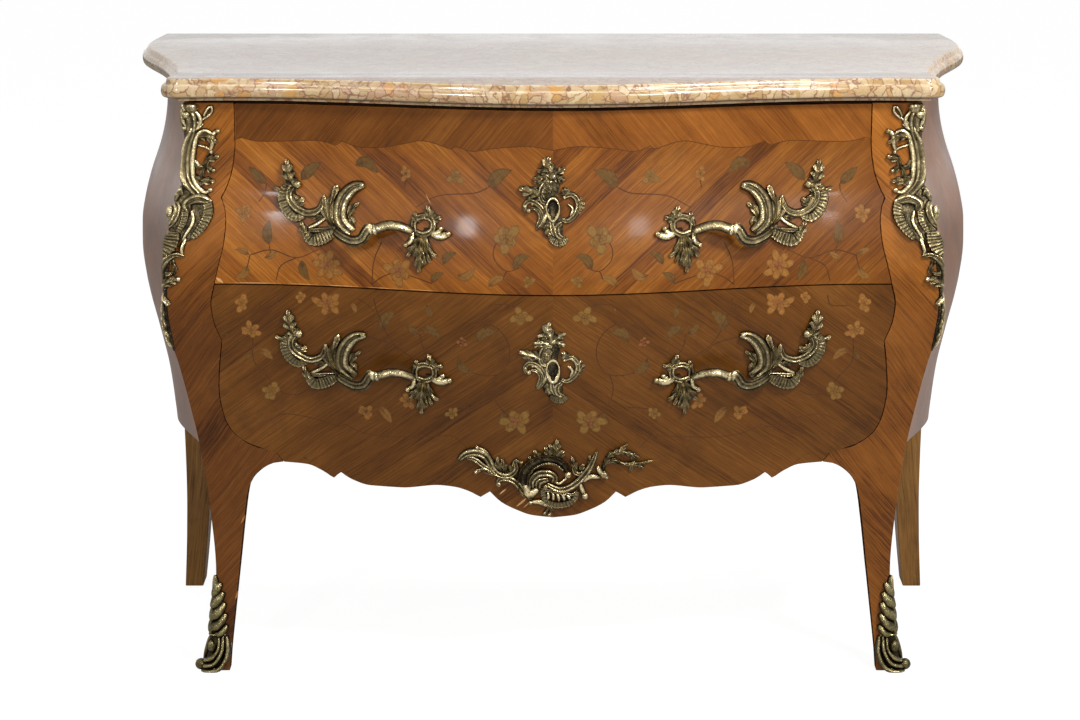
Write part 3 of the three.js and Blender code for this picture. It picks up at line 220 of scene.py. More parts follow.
def places_along(runs, between):
    """Places along runs: each run's own points, with a few between them."""
    places = set()
    for run in runs:
        for (a, _), (b, _) in zip(run, run[1:]):
            parts = max(1, round(abs(b - a) / between))
            for k in range(parts + 1):
                places.add(round(a + (b - a) * k / parts, 5))
    return sorted(places)


def bow(shares, swell):
    at = smooth_through(shares)
    return lambda z: swell * at(z / CARCASS_TOP)


centre_bow = bow(FRONT_BOW, FRONT_BELLY)
corner_bow = bow(CORNER_BOW, CORNER_BELLY)
rear_bow = bow(REAR_BOW, REAR_BELLY)
opening_edge_at = along_runs(OPENING_EDGE)
apron_edge_at = along_runs(APRON_EDGE)
leg_depth_at = smooth_through(LEG_DEPTH)
side_edge_at = smooth_through(SIDE_EDGE)
rear_foot_at = smooth_through(REAR_FOOT)


def opening_edge(z):
    return HALF_SPAN * opening_edge_at(z / CARCASS_TOP)


def apron_edge(x):
    return CARCASS_TOP * apron_edge_at(min(abs(x) / HALF_SPAN, APRON_TIP))


def ease(t):
    s = min(max(t, 0), 1)
    return s * s * (3 - 2 * s)


def sweep_at(x):
    return 0.5 * (1 + math.cos(math.pi * min(1, abs(x) / SWEEP_HALF)))


def front_y(x, z):
    sweep = sweep_at(x)
    corner = corner_bow(z)
    return -(CARCASS_DEPTH + FRONT_SWEEP * sweep + corner + (centre_bow(z) - corner) * sweep)


def corner_x(z):
    return HALF_SPAN + corner_bow(z)


def corner_y(z):
    return -(CARCASS_DEPTH + corner_bow(z))


def side_x(y, z):
    along = (y - corner_y(z)) / -corner_y(z)
    out = ease((along - SIDE_START) / (SIDE_TURN - SIDE_START))
    back = SIDE_RETURN * ease((along - SIDE_TURN) / (1 - SIDE_TURN))
    rear = REAR_SPAN / 2 + rear_bow(z)
    return corner_x(z) + (rear - corner_x(z)) * out - (REAR_SPAN / 2 - HALF_SPAN) * back


# Making a mesh

def spread(start, end, count):
    return [start + (end - start) * i / count for i in range(count + 1)]


def lay_slab(shape, across, along, outer, inner, crest=None):
    """A closed slab. outer and inner place its two faces at shares u, v, each from 0 to 1."""
    made = bmesh.ops.create_grid(shape, x_segments=across, y_segments=along, size=0.5)
    faces = list({face for vert in made["verts"] for face in vert.link_faces})
    copied = bmesh.ops.extrude_face_region(shape, geom=faces)
    backs = [part for part in copied["geom"] if isinstance(part, bmesh.types.BMVert)]
    layer = shape.verts.layers.float.get("crest")
    for verts, place in ((backs, inner), (made["verts"], outer)):
        for vert in verts:
            u = vert.co.x + 0.5
            v = vert.co.y + 0.5
            if layer and crest and place is outer:
                vert[layer] = crest(u, v)
            vert.co = place(u, v)


MERGE_REACH = 1e-4


def lay_tube(shape, around, along, place, closed_end=False, crest=None):
    """A surface closed round u. Its ends are capped, or joined where closed_end is true."""
    made = bmesh.ops.create_grid(shape, x_segments=around, y_segments=along, size=0.5)
    layer = shape.verts.layers.float.get("crest")
    for vert in made["verts"]:
        u = vert.co.x + 0.5
        v = vert.co.y + 0.5
        if layer and crest:
            vert[layer] = crest(u, v)
        vert.co = place(u % 1 if u < 1 else 0, v)
    bmesh.ops.remove_doubles(shape, verts=made["verts"], dist=MERGE_REACH)
    if not closed_end:
        left = [vert for vert in made["verts"] if vert.is_valid]
        edges = {edge for vert in left for edge in vert.link_edges if edge.is_boundary}
        bmesh.ops.holes_fill(shape, edges=list(edges), sides=0)


# Angles in degrees beyond which the edges of a piece stay sharp
CAST_SHARP = 40
SLAB_SHARP = 50
CASE_SHARP = 35
FRONT_SHARP = 45
INLAY_SHARP = 60
SOFT_EDGE_SHARP = 50
SOFT_EDGE_STEPS = 3


def new_shape():
    shape = bmesh.new()
    shape.verts.layers.float.new("crest")
    return shape


def set_down(name, shape, materials, mirrored=False, sharp=CAST_SHARP):
    """Turns a shape in millimetres into an object in metres, at the origin."""
    if mirrored:
        bmesh.ops.scale(shape, vec=(-1, 1, 1), verts=shape.verts)
    bmesh.ops.translate(shape, vec=(0, BACK_PLANE, 0), verts=shape.verts)
    bmesh.ops.scale(shape, vec=(MM, MM, MM), verts=shape.verts)
    bmesh.ops.recalc_face_normals(shape, faces=shape.faces)
    mesh = bpy.data.meshes.new(name)
    shape.to_mesh(mesh)
    shape.free()
    mesh.shade_smooth()
    mesh.set_sharp_from_angle(angle=math.radians(sharp))
    for material in materials:
        mesh.materials.append(material)
    piece = bpy.data.objects.new(name, mesh)
    bpy.context.scene.collection.objects.link(piece)
    return piece


def set_down_pair(name, shape, materials, made_for="right", sharp=CAST_SHARP):
    """Sets a shape down for the side that it was made for, and its mirror image for the other."""
    pieces = {}
    for side in SIDES:
        pieces[side] = set_down(name + "_" + side, shape.copy(), materials, side != made_for, sharp)
    shape.free()
    return pieces.items()


def soften(piece, width):
    """Rounds the sharp edges of a piece."""
    bevel = piece.modifiers.new("soft edges", "BEVEL")
    bevel.width = width * MM
    bevel.segments = SOFT_EDGE_STEPS
    bevel.limit_method = "ANGLE"
    bevel.angle_limit = math.radians(SOFT_EDGE_SHARP)
    bevel.harden_normals = True


def settle(piece, body, slot, *nodes):
    """Hangs a piece on a body and hides the nodes that it stands for."""
    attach(piece, body)
    if nodes:
        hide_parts(*nodes)


def cut_away(piece, tool_shape):
    """Cuts one shape, in millimetres, out of a piece."""
    tool = set_down(piece.name + "_tool", tool_shape, [])
    cut = piece.modifiers.new("cut", "BOOLEAN")
    cut.object = tool
    cut.operation = "DIFFERENCE"
    cut.solver = "EXACT"
    graph = bpy.context.evaluated_depsgraph_get()
    finished = bpy.data.meshes.new_from_object(piece.evaluated_get(graph))
    piece.modifiers.clear()
    piece.data = finished
    bpy.data.objects.remove(tool)


# Casts are drawn as scrolls: (points in thousandths of the cast's box, width, section, lobes, ends).
# The ends are the shares of the width left at the two ends. A section gives the shares of width and
# height at s, from -1 to 1 across the scroll, and t, from 0 to 1 along it.

BOX_PARTS = 1000
LEAF_NOTCH = 0.3
LEAF_SLANT = 0.55
LEAF_CURL = 0.07
LEAF_VEIN = 0.16
LEAF_RISE = 0.25
SHELL_NOTCH = 0.14
SHELL_RIBS = 1.8
SHELL_TROUGH = 0.2
RIM_PLACE = 0.8
# Rounded sections, as (height of the edge, rise to the middle, how full the round is)
LEAF_ROUND = (0.32, 0.38, 0.9)
SHELL_ROUND = (0.34, 0.42, 0.95)
FLUTE_ROUND = (0.22, 0.78, 0.97)
PLAIN_ROUND = (0.2, 0.8, 0.98)
WEB_ROUND = (0.46, 0.1, 0.98)
# Ridges along a scroll, and the groove of a fluted one, as (height, width)
LEAF_SPINE = (0.3, 0.17)
SHELL_RIM = (0.2, 0.14)
FLUTE = (-0.42, 0.26)
FLUTE_PLACE = 0.08
RIM = (0.5, 0.16)
RIMMED_SPINE = (0.16, 0.3)
RIMMED_BASE = 0.42


def rounded(s, edge, rise, fullness):
    return edge + rise * math.sqrt(max(0, 1 - (fullness * s) ** 2))


def ridge(value, height, width):
    return height * math.exp(-((value / width) ** 2))


def leaf(s, t, lobes):
    side = abs(s)
    margin = 0.5 + 0.5 * math.cos(2 * math.pi * (lobes * t - LEAF_SLANT * side))
    rib = math.cos(2 * math.pi * (lobes * t - LEAF_SLANT * 2 * side))
    width = 1 - LEAF_NOTCH * margin if lobes else 1
    vein = LEAF_VEIN * rib * side - LEAF_CURL * margin if lobes else 0
    return width, rounded(s, *LEAF_ROUND) + ridge(s, *LEAF_SPINE) + vein + LEAF_RISE * t * t


def shell(s, t, lobes):
    trough = 1 - abs(math.cos(math.pi * SHELL_RIBS * lobes * t))
    height = rounded(s, *SHELL_ROUND) * (1 - SHELL_TROUGH * trough)
    return 1 - SHELL_NOTCH * trough, height + ridge(abs(s) - RIM_PLACE, *SHELL_RIM)


def fluted(s, t, lobes):
    return 1, rounded(s, *FLUTE_ROUND) + ridge(s - FLUTE_PLACE, *FLUTE)


def plain(s, t, lobes):
    return 1, rounded(s, *PLAIN_ROUND)


def rimmed(s, t, lobes):
    return 1, RIMMED_BASE + ridge(abs(s) - RIM_PLACE, *RIM) + ridge(s, *RIMMED_SPINE)


def web(s, t, lobes):
    return 1, rounded(s, *WEB_ROUND)


HANDLE_SCROLLS = (
    # leaf and spur at the outer end, and the rim that curls from its ball
    (((92, 679), (65, 737), (46, 820), (39, 933)), 16.9, leaf, 4, (0.6, 0.05)),
    (((87, 695), (21, 657), (-42, 684)), 9.2, leaf, 2, (0.9, 0.1)),
    (((26, 701), (8, 610), (34, 496), (87, 430), (153, 456)), 12.5, shell, 8, (0.4, 0.2)),
    (((100, 726), (58, 678), (48, 595), (87, 515), (159, 469), (225, 508), (250, 605)),
      9.8, fluted, 0, (0.8, 0.5)),
    (((65, 645), (98, 581), (142, 591)), 10.9, leaf, 2, (0.5, 0.1)),
    (((81, 597), (109, 549), (140, 547)), 6.5, leaf, 0, (0.5, 0.1)),
    # crest of leaves over the outer end of the grip
    (((308, 362), (272, 442), (255, 523), (252, 631)), 10.3, leaf, 2, (0.8, 0.1)),
    (((335, 356), (294, 444), (288, 541), (307, 633), (327, 718)), 12.5, leaf, 2, (0.8, 0.35)),
    (((407, 319), (349, 414), (346, 529), (373, 629), (423, 706), (484, 732)), 17.4, fluted, 2, (0.9, 0.4)),
    (((385, 334), (390, 433), (407, 516), (453, 577)), 9.8, leaf, 3, (0.5, 0.15)),
    (((390, 450), (412, 435), (424, 380)), 7.1, leaf, 0, (0.6, 0.1)),
    (((258, 442), (219, 439), (181, 424)), 6.5, leaf, 2, (0.7, 0.1)),
    # stem and shell below them
    (((264, 442), (219, 387), (160, 341)), 5.4, plain, 0, (0.8, 0.6)),
    (((170, 272), (137, 320), (118, 405)), 9.8, leaf, 2, (0.8, 0.05)),
    (((140, 303), (181, 246), (241, 262), (310, 316)), 16.3, shell, 6, (0.5, 0.5)),
    (((153, 320), (219, 327), (308, 342)), 6.5, fluted, 0, (0.5, 0.5)),
    # plate at the inner end, with its eye and its palmette
    (((766, 346), (766, 436), (812, 483), (866, 459), (871, 378), (822, 330), (773, 349)),
      8.2, fluted, 0, (0.9, 0.9)),
    (((795, 429), (777, 469), (772, 522)), 9.2, leaf, 2, (0.8, 0.1)),
    (((844, 449), (855, 499), (844, 583)), 10.9, leaf, 2, (0.8, 0.1)),
    (((860, 434), (882, 468), (924, 484)), 10.3, leaf, 2, (0.8, 0.15)),
    (((860, 352), (893, 342), (922, 386)), 8.2, plain, 0, (0.9, 0.5)),
    (((866, 345), (909, 323), (968, 346)), 10.3, plain, 0, (0.9, 0.5)),
    (((898, 330), (922, 311), (936, 296)), 7.1, plain, 0, (0.9, 0.5)),
    (((801, 332), (773, 232), (726, 132)), 12, leaf, 3, (0.8, 0.05)),
    (((812, 333), (795, 168), (796, -3)), 14.1, leaf, 4, (0.8, 0.05)),
    (((817, 333), (817, 186), (831, 67)), 9.8, leaf, 2, (0.8, 0.05)),
    (((822, 333), (833, 204), (859, 89)), 9.8, leaf, 2, (0.8, 0.05)),
    (((828, 334), (850, 205), (896, 145)), 9.8, leaf, 2, (0.8, 0.15)),
    (((757, 345), (750, 271), (714, 234)), 7.1, plain, 0, (0.7, 0.6)),
)

HANDLE_BALLS = (
    ((100, 716), 6),
    ((468, 728), 4.1),
    ((325, 708), 3),
    ((720, 236), 3.8),
    ((922, 386), 3.8),
    ((961, 346), 4.4),
    ((250, 615), 2.7),
)

GRIP = (((308, 332), (357, 293), (418, 267), (473, 291), (510, 373), (549, 382), (621, 417), (692, 406),
         (763, 355)), 13.6)

ESCUTCHEON_SCROLLS = (
    # ground that joins the scrolls
    (((500, 900), (500, 750), (470, 600), (450, 450)), 22, web, 0, (0.3, 0.6)),
    (((460, 500), (500, 340), (560, 200), (600, 100)), 22, web, 0, (0.6, 0.4)),
    # crest
    (((524, 741), (508, 840), (454, 916), (502, 998)), 13.8, leaf, 4, (0.7, 0.05)),
    (((524, 785), (616, 818), (736, 877)), 8.7, leaf, 3, (0.8, 0.1)),
    (((493, 796), (400, 839), (302, 843)), 8.1, leaf, 2, (0.8, 0.1)),
    (((493, 752), (385, 762), (243, 759)), 9.6, leaf, 3, (0.8, 0.1)),
    (((431, 719), (339, 729), (252, 711)), 5.8, leaf, 2, (0.8, 0.1)),
    (((524, 763), (631, 763), (733, 729)), 9, leaf, 3, (0.8, 0.15)),
    # scroll round the key plate, and the shell inside it
    (((508, 680), (446, 620), (470, 548)), 11, shell, 6, (0.6, 0.6)),
    (((533, 716), (439, 721), (366, 641), (354, 564), (392, 504), (454, 492)), 6.1, fluted, 0, (0.6, 0.6)),
    # left leaf and double scroll
    (((369, 564), (246, 613), (138, 629), (27, 663)), 12.5, leaf, 3, (0.7, 0.05)),
    (((308, 564), (184, 574), (104, 604)), 6.4, leaf, 2, (0.8, 0.1)),
    (((146, 398), (116, 458), (184, 517), (308, 485), (400, 410), (419, 335), (369, 259), (284, 202)),
      6.4, fluted, 0, (0.6, 0.1)),
    (((215, 440), (308, 419), (357, 345), (295, 226)), 4.9, fluted, 0, (0.6, 0.1)),
    (((400, 291), (462, 400), (431, 466)), 5.8, plain, 0, (0.6, 0.6)),
    # right scroll and its leaves
    (((678, 576), (739, 619), (693, 657)), 8.1, leaf, 2, (0.8, 0.2)),
    (((708, 553), (816, 586), (901, 541), (928, 453), (870, 361), (763, 304), (678, 322)),
      6.7, fluted, 0, (0.7, 0.6)),
    (((770, 487), (847, 432), (801, 345)), 3.8, plain, 0, (0.4, 0.4)),
    (((878, 531), (932, 508), (986, 556)), 6.4, leaf, 2, (0.8, 0.1)),
    (((909, 442), (963, 442), (1020, 507)), 6.4, leaf, 2, (0.8, 0.1)),
    (((878, 366), (932, 398), (971, 442)), 5.2, leaf, 2, (0.8, 0.1)),
    # foot
    (((462, 291), (462, 215), (508, 144)), 8.1, leaf, 3, (0.7, 0.2)),
    (((524, 291), (542, 205), (588, 133)), 6.4, fluted, 0, (0.8, 0.3)),
    (((678, 286), (604, 232), (628, 150), (721, 115)), 7.2, fluted, 0, (0.7, 0.5)),
    (((508, 122), (593, 83), (678, 79), (764, 115)), 8.7, shell, 5, (0.5, 0.5)),
    (((631, 96), (655, 64), (650, 27)), 5.8, leaf, 2, (0.8, 0.2)),
)

ESCUTCHEON_BALLS = (
    ((557, 778), 3.5),
    ((721, 556), 2.6),
    ((184, 414), 3.5),
    ((237, 487), 2.3),
    ((129, 457), 2.9),
)

APRON_SCROLLS = (
    # great central scroll and its crest
    (((591, 555), (561, 684), (497, 755), (428, 729), (375, 624), (353, 473), (364, 326), (408, 267)),
      14.3, rimmed, 0, (0.4, 0.9)),
    (((505, 788), (485, 860), (471, 928)), 9.5, leaf, 2, (0.8, 0.1)),
    (((521, 777), (509, 881), (493, 961)), 9.5, leaf, 2, (0.8, 0.1)),
    (((533, 771), (530, 891), (532, 1023)), 11.7, leaf, 3, (0.8, 0.1)),
    (((545, 757), (554, 829), (565, 878)), 8.7, leaf, 2, (0.8, 0.15)),
    (((448, 742), (433, 808), (412, 885)), 9.5, leaf, 2, (0.8, 0.1)),
    (((416, 704), (400, 741), (385, 802)), 7.8, leaf, 2, (0.8, 0.1)),
    # waves inside it
    (((400, 372), (398, 465), (432, 559), (488, 570), (522, 514), (511, 445)), 10.8, fluted, 0, (0.6, 0.5)),
    (((432, 373), (440, 455), (488, 487)), 10, fluted, 0, (0.8, 0.4)),
    (((513, 487), (541, 431), (582, 497)), 4.3, plain, 0, (0.8, 0.8)),
    (((368, 412), (384, 290), (432, 353)), 12.2, plain, 0, (0.8, 0.5)),
    # shell below
    (((455, 349), (472, 210), (521, 145), (585, 159), (625, 225), (640, 319)), 8.7, shell, 9, (0.6, 0.5)),
    (((450, 349), (529, 321), (609, 279), (637, 327)), 5.6, fluted, 0, (0.7, 0.6)),
    (((484, 313), (487, 251), (480, 210)), 5.2, plain, 0, (0.6, 0.6)),
    (((509, 303), (514, 252), (511, 198)), 5.2, plain, 0, (0.6, 0.6)),
    (((533, 292), (541, 241), (542, 190)), 5.2, plain, 0, (0.6, 0.6)),
    (((558, 282), (569, 241), (571, 194)), 5.2, plain, 0, (0.6, 0.6)),
    (((583, 275), (595, 247), (600, 210)), 5.2, plain, 0, (0.6, 0.6)),
    (((472, 169), (490, 98), (464, 30)), 7.4, leaf, 2, (0.8, 0.2)),
    (((480, 149), (498, 77), (493, 5)), 7.4, leaf, 2, (0.8, 0.2)),
    (((480, 129), (436, 185), (390, 176)), 7.4, plain, 0, (0.7, 0.5)),
    # left arm
    (((336, 717), (309, 737), (318, 617), (280, 532), (231, 539), (198, 626), (190, 741)),
      8.7, fluted, 0, (0.3, 0.6)),
    (((240, 571), (225, 673), (221, 781)), 8.7, leaf, 2, (0.8, 0.1)),
    (((264, 562), (256, 655), (243, 757)), 7.8, leaf, 2, (0.8, 0.1)),
    (((284, 563), (296, 637), (309, 720)), 7.8, leaf, 2, (0.8, 0.1)),
    (((201, 589), (164, 772), (112, 833), (55, 806), (13, 711)), 11.7, fluted, 0, (0.6, 0.3)),
    (((200, 630), (168, 817), (111, 911)), 5.6, plain, 0, (0.6, 0.5)),
    (((201, 589), (151, 647), (99, 741), (39, 759)), 7.8, fluted, 0, (0.6, 0.2)),
    (((247, 505), (191, 557), (143, 609), (101, 563)), 7.8, leaf, 2, (0.6, 0.4)),
    (((221, 408), (233, 479), (280, 486), (324, 421), (356, 310), (384, 270)), 9.1, fluted, 0, (0.5, 0.7)),
    # right arm
    (((480, 419), (545, 349), (609, 393), (665, 511), (707, 658), (743, 871)), 10.4, fluted, 0, (0.5, 0.1)),
    (((713, 617), (709, 700), (701, 808)), 6.5, leaf, 2, (0.8, 0.1)),
    (((615, 662), (629, 568), (669, 567), (694, 659)), 6.5, fluted, 0, (0.5, 0.5)),
    (((641, 589), (625, 683), (610, 791)), 8.2, leaf, 2, (0.8, 0.1)),
    (((649, 589), (661, 640), (671, 697)), 6.9, leaf, 2, (0.8, 0.2)),
    (((665, 453), (705, 518), (754, 506)), 7.8, plain, 0, (0.6, 0.6)),
    (((745, 656), (760, 573), (787, 533)), 7.4, plain, 0, (0.6, 0.6)),
    (((653, 433), (664, 351), (680, 268)), 6.9, plain, 0, (0.6, 0.6)),
    (((770, 551), (781, 675), (825, 729), (882, 683), (938, 673), (986, 688), (1038, 711)),
      6.5, leaf, 3, (0.8, 0.1)),
    (((777, 675), (809, 805), (857, 862), (903, 953)), 8.2, leaf, 5, (0.5, 0.05)),
    (((849, 855), (909, 818), (967, 761)), 7.4, leaf, 4, (0.6, 0.1)),
    (((909, 818), (931, 744), (932, 661)), 6.1, leaf, 2, (0.7, 0.4)),
    (((922, 683), (922, 621), (914, 568)), 5.2, leaf, 0, (0.8, 0.2)),
    (((954, 676), (971, 637), (990, 610)), 6.1, leaf, 2, (0.8, 0.1)),
)

APRON_BALLS = (
    ((591, 555), 5.2),
    ((472, 394), 3.5),
    ((778, 551), 5.6),
    ((792, 512), 3),
    ((680, 268), 5.2),
    ((226, 417), 3.9),
    ((393, 176), 3.3),
    ((116, 899), 3),
    ((107, 568), 3),
    ((467, 34), 2.6),
    ((492, 18), 2.6),
    ((346, 714), 2.6),
)

APRON_BEADS = (((388, 558), (420, 652), (472, 709), (521, 701), (561, 626)), 1.3)

CORNER_SCROLLS = (
    # ground that joins the scrolls
    (((220, 985), (300, 950), (320, 900)), 22, web, 0, (0.1, 0.9)),
    (((300, 920), (200, 800), (220, 720), (420, 660)), 15, web, 0, (0.8, 0.8)),
    (((620, 620), (720, 560), (500, 480)), 19, web, 0, (0.6, 0.5)),
    (((340, 700), (160, 640), (20, 560), (20, 470)), 26, web, 0, (0.7, 0.7)),
    (((60, 470), (40, 380), (-20, 300), (0, 180), (120, 40)), 17, web, 0, (0.9, 0.2)),
    # bud with its loop leaf
    (((300, 890), (340, 940), (200, 1000)), 12, fluted, 0, (0.8, 0.3)),
    (((120, 890), (20, 930), (60, 980)), 8, fluted, 0, (0.8, 0.4)),
    (((440, 900), (540, 935), (420, 975)), 6.5, plain, 0, (0.8, 0.4)),
    (((220, 905), (140, 940), (160, 985)), 5, plain, 0, (0.5, 0.3)),
    (((300, 910), (480, 925), (660, 945)), 4.5, plain, 0, (0.8, 0.5)),
    (((651, 940), (829, 967), (815, 989), (699, 972), (623, 950)), 3.9, plain, 0, (0.8, 0.8)),
    (((600, 920), (400, 900), (100, 905)), 5, plain, 0, (0.4, 0.8)),
    # long C scroll, with a twig inside it
    (((920, 895), (807, 875), (780, 836), (723, 815)), 6.8, plain, 0, (0.7, 0.5)),
    (((795, 877), (629, 894), (437, 875), (346, 823), (331, 764), (419, 698), (683, 659), (869, 667)),
      7, plain, 0, (0.6, 0.6)),
    (((341, 899), (207, 836), (185, 757), (273, 691), (633, 640), (864, 627)), 9.5, fluted, 0, (0.7, 0.6)),
    (((400, 868), (660, 872), (930, 846)), 11, leaf, 3, (0.8, 0.1)),
    (((370, 720), (600, 704), (920, 700)), 10, leaf, 3, (0.8, 0.1)),
    (((781, 815), (617, 830), (427, 838)), 3.4, plain, 0, (0.8, 0.8)),
    (((638, 784), (802, 787), (947, 797)), 8.7, leaf, 2, (0.7, 0.4)),
    (((650, 757), (781, 744), (890, 740)), 7.3, leaf, 2, (0.7, 0.4)),
    (((753, 804), (677, 771), (579, 731), (608, 685)), 5.8, leaf, 3, (0.6, 0.6)),
    (((591, 751), (463, 757), (347, 784)), 5.8, leaf, 0, (0.7, 0.3)),
    # shell and oval boss
    (((866, 626), (556, 637), (361, 617), (466, 589)), 12.6, fluted, 0, (0.5, 0.4)),
    (((843, 627), (945, 576), (849, 524), (670, 484)), 12.6, shell, 7, (0.6, 0.3)),
    (((536, 589), (628, 547), (522, 501), (461, 479)), 5.8, plain, 0, (0.6, 0.6)),
    (((346, 614), (407, 556), (310, 505)), 8.7, shell, 6, (0.6, 0.5)),
    (((167, 678), (103, 646), (-42, 627)), 10.7, leaf, 3, (0.3, 0.7)),
    (((-32, 640), (194, 601), (166, 543), (-46, 510)), 6.8, fluted, 0, (0.5, 0.4)),
    (((-9, 627), (-111, 614), (-117, 563), (-40, 524)), 5.3, plain, 0, (0.5, 0.5)),
    (((251, 511), (208, 466), (6, 420)), 17, shell, 5, (0.6, 0.5)),
    # twig and tail
    (((535, 485), (474, 446), (512, 423)), 6.3, plain, 0, (0.6, 0.4)),
    (((547, 418), (295, 423), (107, 386), (7, 326), (-14, 266)), 8.3, fluted, 0, (0.4, 0.7)),
    (((285, 403), (362, 360), (166, 348)), 6.3, leaf, 2, (0.6, 0.6)),
    (((80, 293), (248, 320), (490, 332)), 10.2, leaf, 3, (0.7, 0.3)),
    (((-26, 272), (69, 259), (234, 228)), 6.3, leaf, 0, (0.7, 0.6)),
    (((-77, 420), (-67, 353), (-55, 272)), 6.3, shell, 9, (0.5, 0.5)),
    (((-26, 272), (38, 198), (76, 121), (146, 58)), 9.7, leaf, 5, (0.8, 0.1)),
)

CORNER_BALLS = (
    ((363, 986), 8.3),
    ((237, 957), 6.3),
    ((939, 893), 3.8),
    ((836, 667), 3.9),
    ((924, 794), 2.9),
    ((849, 740), 2.9),
    ((766, 811), 2.9),
    ((448, 330), 3.9),
    ((209, 232), 3.2),
    ((905, 627), 2.9),
)

CORNER_BOSS = ((-6, 573), 7.3)

SABOT_SCROLLS = (
    # ground that joins the scrolls
    (((200, 0), (260, 200), (200, 400)), 22, web, 0, (0.9, 0.6)),
    (((200, 360), (160, 600), (120, 800), (100, 900)), 9, web, 0, (0.9, 0.2)),
    # ear of leaves that point up from a spine on the arris
    (((100, 380), (100, 600), (100, 800), (100, 940)), 4, plain, 0, (0.9, 0.4)),
    (((100, 840), (160, 930), (120, 1020)), 5.5, plain, 0, (0.8, 0.4)),
    (((100, 790), (220, 860), (340, 940)), 7.5, plain, 0, (0.8, 0.6)),
    (((90, 670), (280, 750), (460, 840)), 9, plain, 0, (0.8, 0.6)),
    (((120, 550), (340, 630), (540, 730)), 9.5, plain, 0, (0.8, 0.6)),
    (((160, 440), (400, 510), (620, 610)), 9.5, plain, 0, (0.8, 0.6)),
    (((300, 380), (500, 410), (700, 490)), 8.5, plain, 0, (0.8, 0.6)),
    (((100, 760), (-40, 820), (-140, 890)), 5, plain, 0, (0.7, 0.4)),
    (((100, 640), (-80, 710), (-240, 780)), 5.5, plain, 0, (0.7, 0.4)),
    (((100, 520), (-100, 590), (-320, 660)), 6, plain, 0, (0.7, 0.4)),
    (((100, 400), (-140, 460), (-380, 530)), 6, plain, 0, (0.7, 0.4)),
    # flutes from the collar round the oval boss to the toe
    (((740, 370), (900, 200), (740, 60), (400, 10), (-100, 0)), 6.5, plain, 0, (0.5, 0.8)),
    (((580, 370), (640, 220), (480, 110), (200, 60), (-100, 50)), 6, plain, 0, (0.5, 0.8)),
    (((420, 360), (460, 240), (300, 150), (100, 110), (-120, 100)), 5.4, plain, 0, (0.5, 0.8)),
    (((-20, 350), (0, 220), (-100, 130), (-240, 100)), 4.6, plain, 0, (0.5, 0.8)),
    (((-180, 350), (-200, 220), (-300, 100), (-300, 20)), 5, plain, 0, (0.5, 0.8)),
    (((-340, 340), (-420, 200), (-400, 80)), 5, plain, 0, (0.5, 0.6)),
    (((700, 390), (300, 385), (-100, 385), (-360, 360)), 3.4, plain, 0, (0.6, 0.6)),
)

SABOT_BALLS = (
    ((-20, 60), 8.4),
    ((300, 400), 2),
    ((660, 385), 2.2),
    ((460, 30), 2.4),
)

SABOT_BOSS = ((240, 270), 5.4)

CURVE_SAMPLES = 12
SCROLL_STEP = 3.2  # longest step along a scroll
LEAST_STEPS = 6
LOBE_STEPS = 8
SCROLL_ACROSS = 12
CREST_BASE = 2.6
CREST_SHARE = 0.46  # of the width, added to the base
WEB_TOP = 4.5
SWELL_POWER = 0.6
POINTED = 0.3  # an end narrower than this share is a leaf's point, and thins out
POINT_HEIGHT = 0.35
END_HEIGHT = 0.62
CAST_SINK = 0.8  # how far the underside of a cast lies below the veneer
BALL_LIFT = 3.4
BALL_SEGMENTS = (14, 9)
BALL_CREST = 0.9
FULLNESS = 1.2
TINY = 1e-9  # keeps a quotient finite
CORNER_SHARE = 0.14
CORNER_ROUND = 0.16


def curve_through(points):
    """A smooth curve through points in a plane: its length, and its place and direction at a share."""
    ends = [[2 * a - b for a, b in zip(points[0], points[1])],
            [2 * a - b for a, b in zip(points[-1], points[-2])]]
    p = [ends[0], *points, ends[1]]
    line = []
    for i in range(1, len(p) - 2):
        for k in range(CURVE_SAMPLES):
            t = k / CURVE_SAMPLES
            line.append([0.5 * (2 * b + (c - a) * t + (2 * a - 5 * b + 4 * c - d) * t * t
                                + (3 * b - a - 3 * c + d) * t ** 3)
                         for a, b, c, d in zip(*p[i - 1:i + 3])])
    line.append(list(points[-1]))
    reach = [0]
    for a, b in zip(line, line[1:]):
        reach.append(reach[-1] + math.dist(a, b))

    def at(share):
        want = share * reach[-1]
        i = 0
        while i < len(reach) - 2 and reach[i + 1] < want:
            i += 1
        t = (want - reach[i]) / max(reach[i + 1] - reach[i], TINY)
        place = [a + (b - a) * t for a, b in zip(line[i], line[i + 1])]
        before = line[max(i - 1, 0)]
        after = line[min(i + 2, len(line) - 1)]
        run = math.dist(before, after)
        return place, [(b - a) / run for a, b in zip(before, after)]

    return reach[-1], at


def on_front(middle, size):
    """Places a cast's box on the front: flat gives x, z and solid a point h before the face."""
    def flat(u, v):
        return [m + (place / BOX_PARTS - 0.5) * s for place, m, s in zip((u, v), middle, size)]

    def solid(x, z, h):
        return Vector((x, front_y(x, z) - h, z))

    return flat, solid


def on_corner(low, high, reach, stand=0):
    """The same round a front corner, from the side, past the arris, to the front. A stand is the share
    by which the cast is thicker at its foot than at its head."""
    def flat(u, v):
        return (u / BOX_PARTS - CORNER_SHARE) * reach, low + v / BOX_PARTS * (high - low)

    def solid(s, z, h):
        turn = math.pi / 4 * (1 - min(max(s / (reach * CORNER_ROUND), -1), 1))
        if h > 0:
            h *= 1 + stand * max(0, high - z) / (high - low)
        if s >= 0:
            x = corner_x(z) - s
            base = Vector((x, front_y(x, z), z))
        else:
            y = corner_y(z) - s
            base = Vector((side_x(y, z), y, z))
        return base + Vector((h * math.sin(turn), -h * math.cos(turn), 0))

    return flat, solid


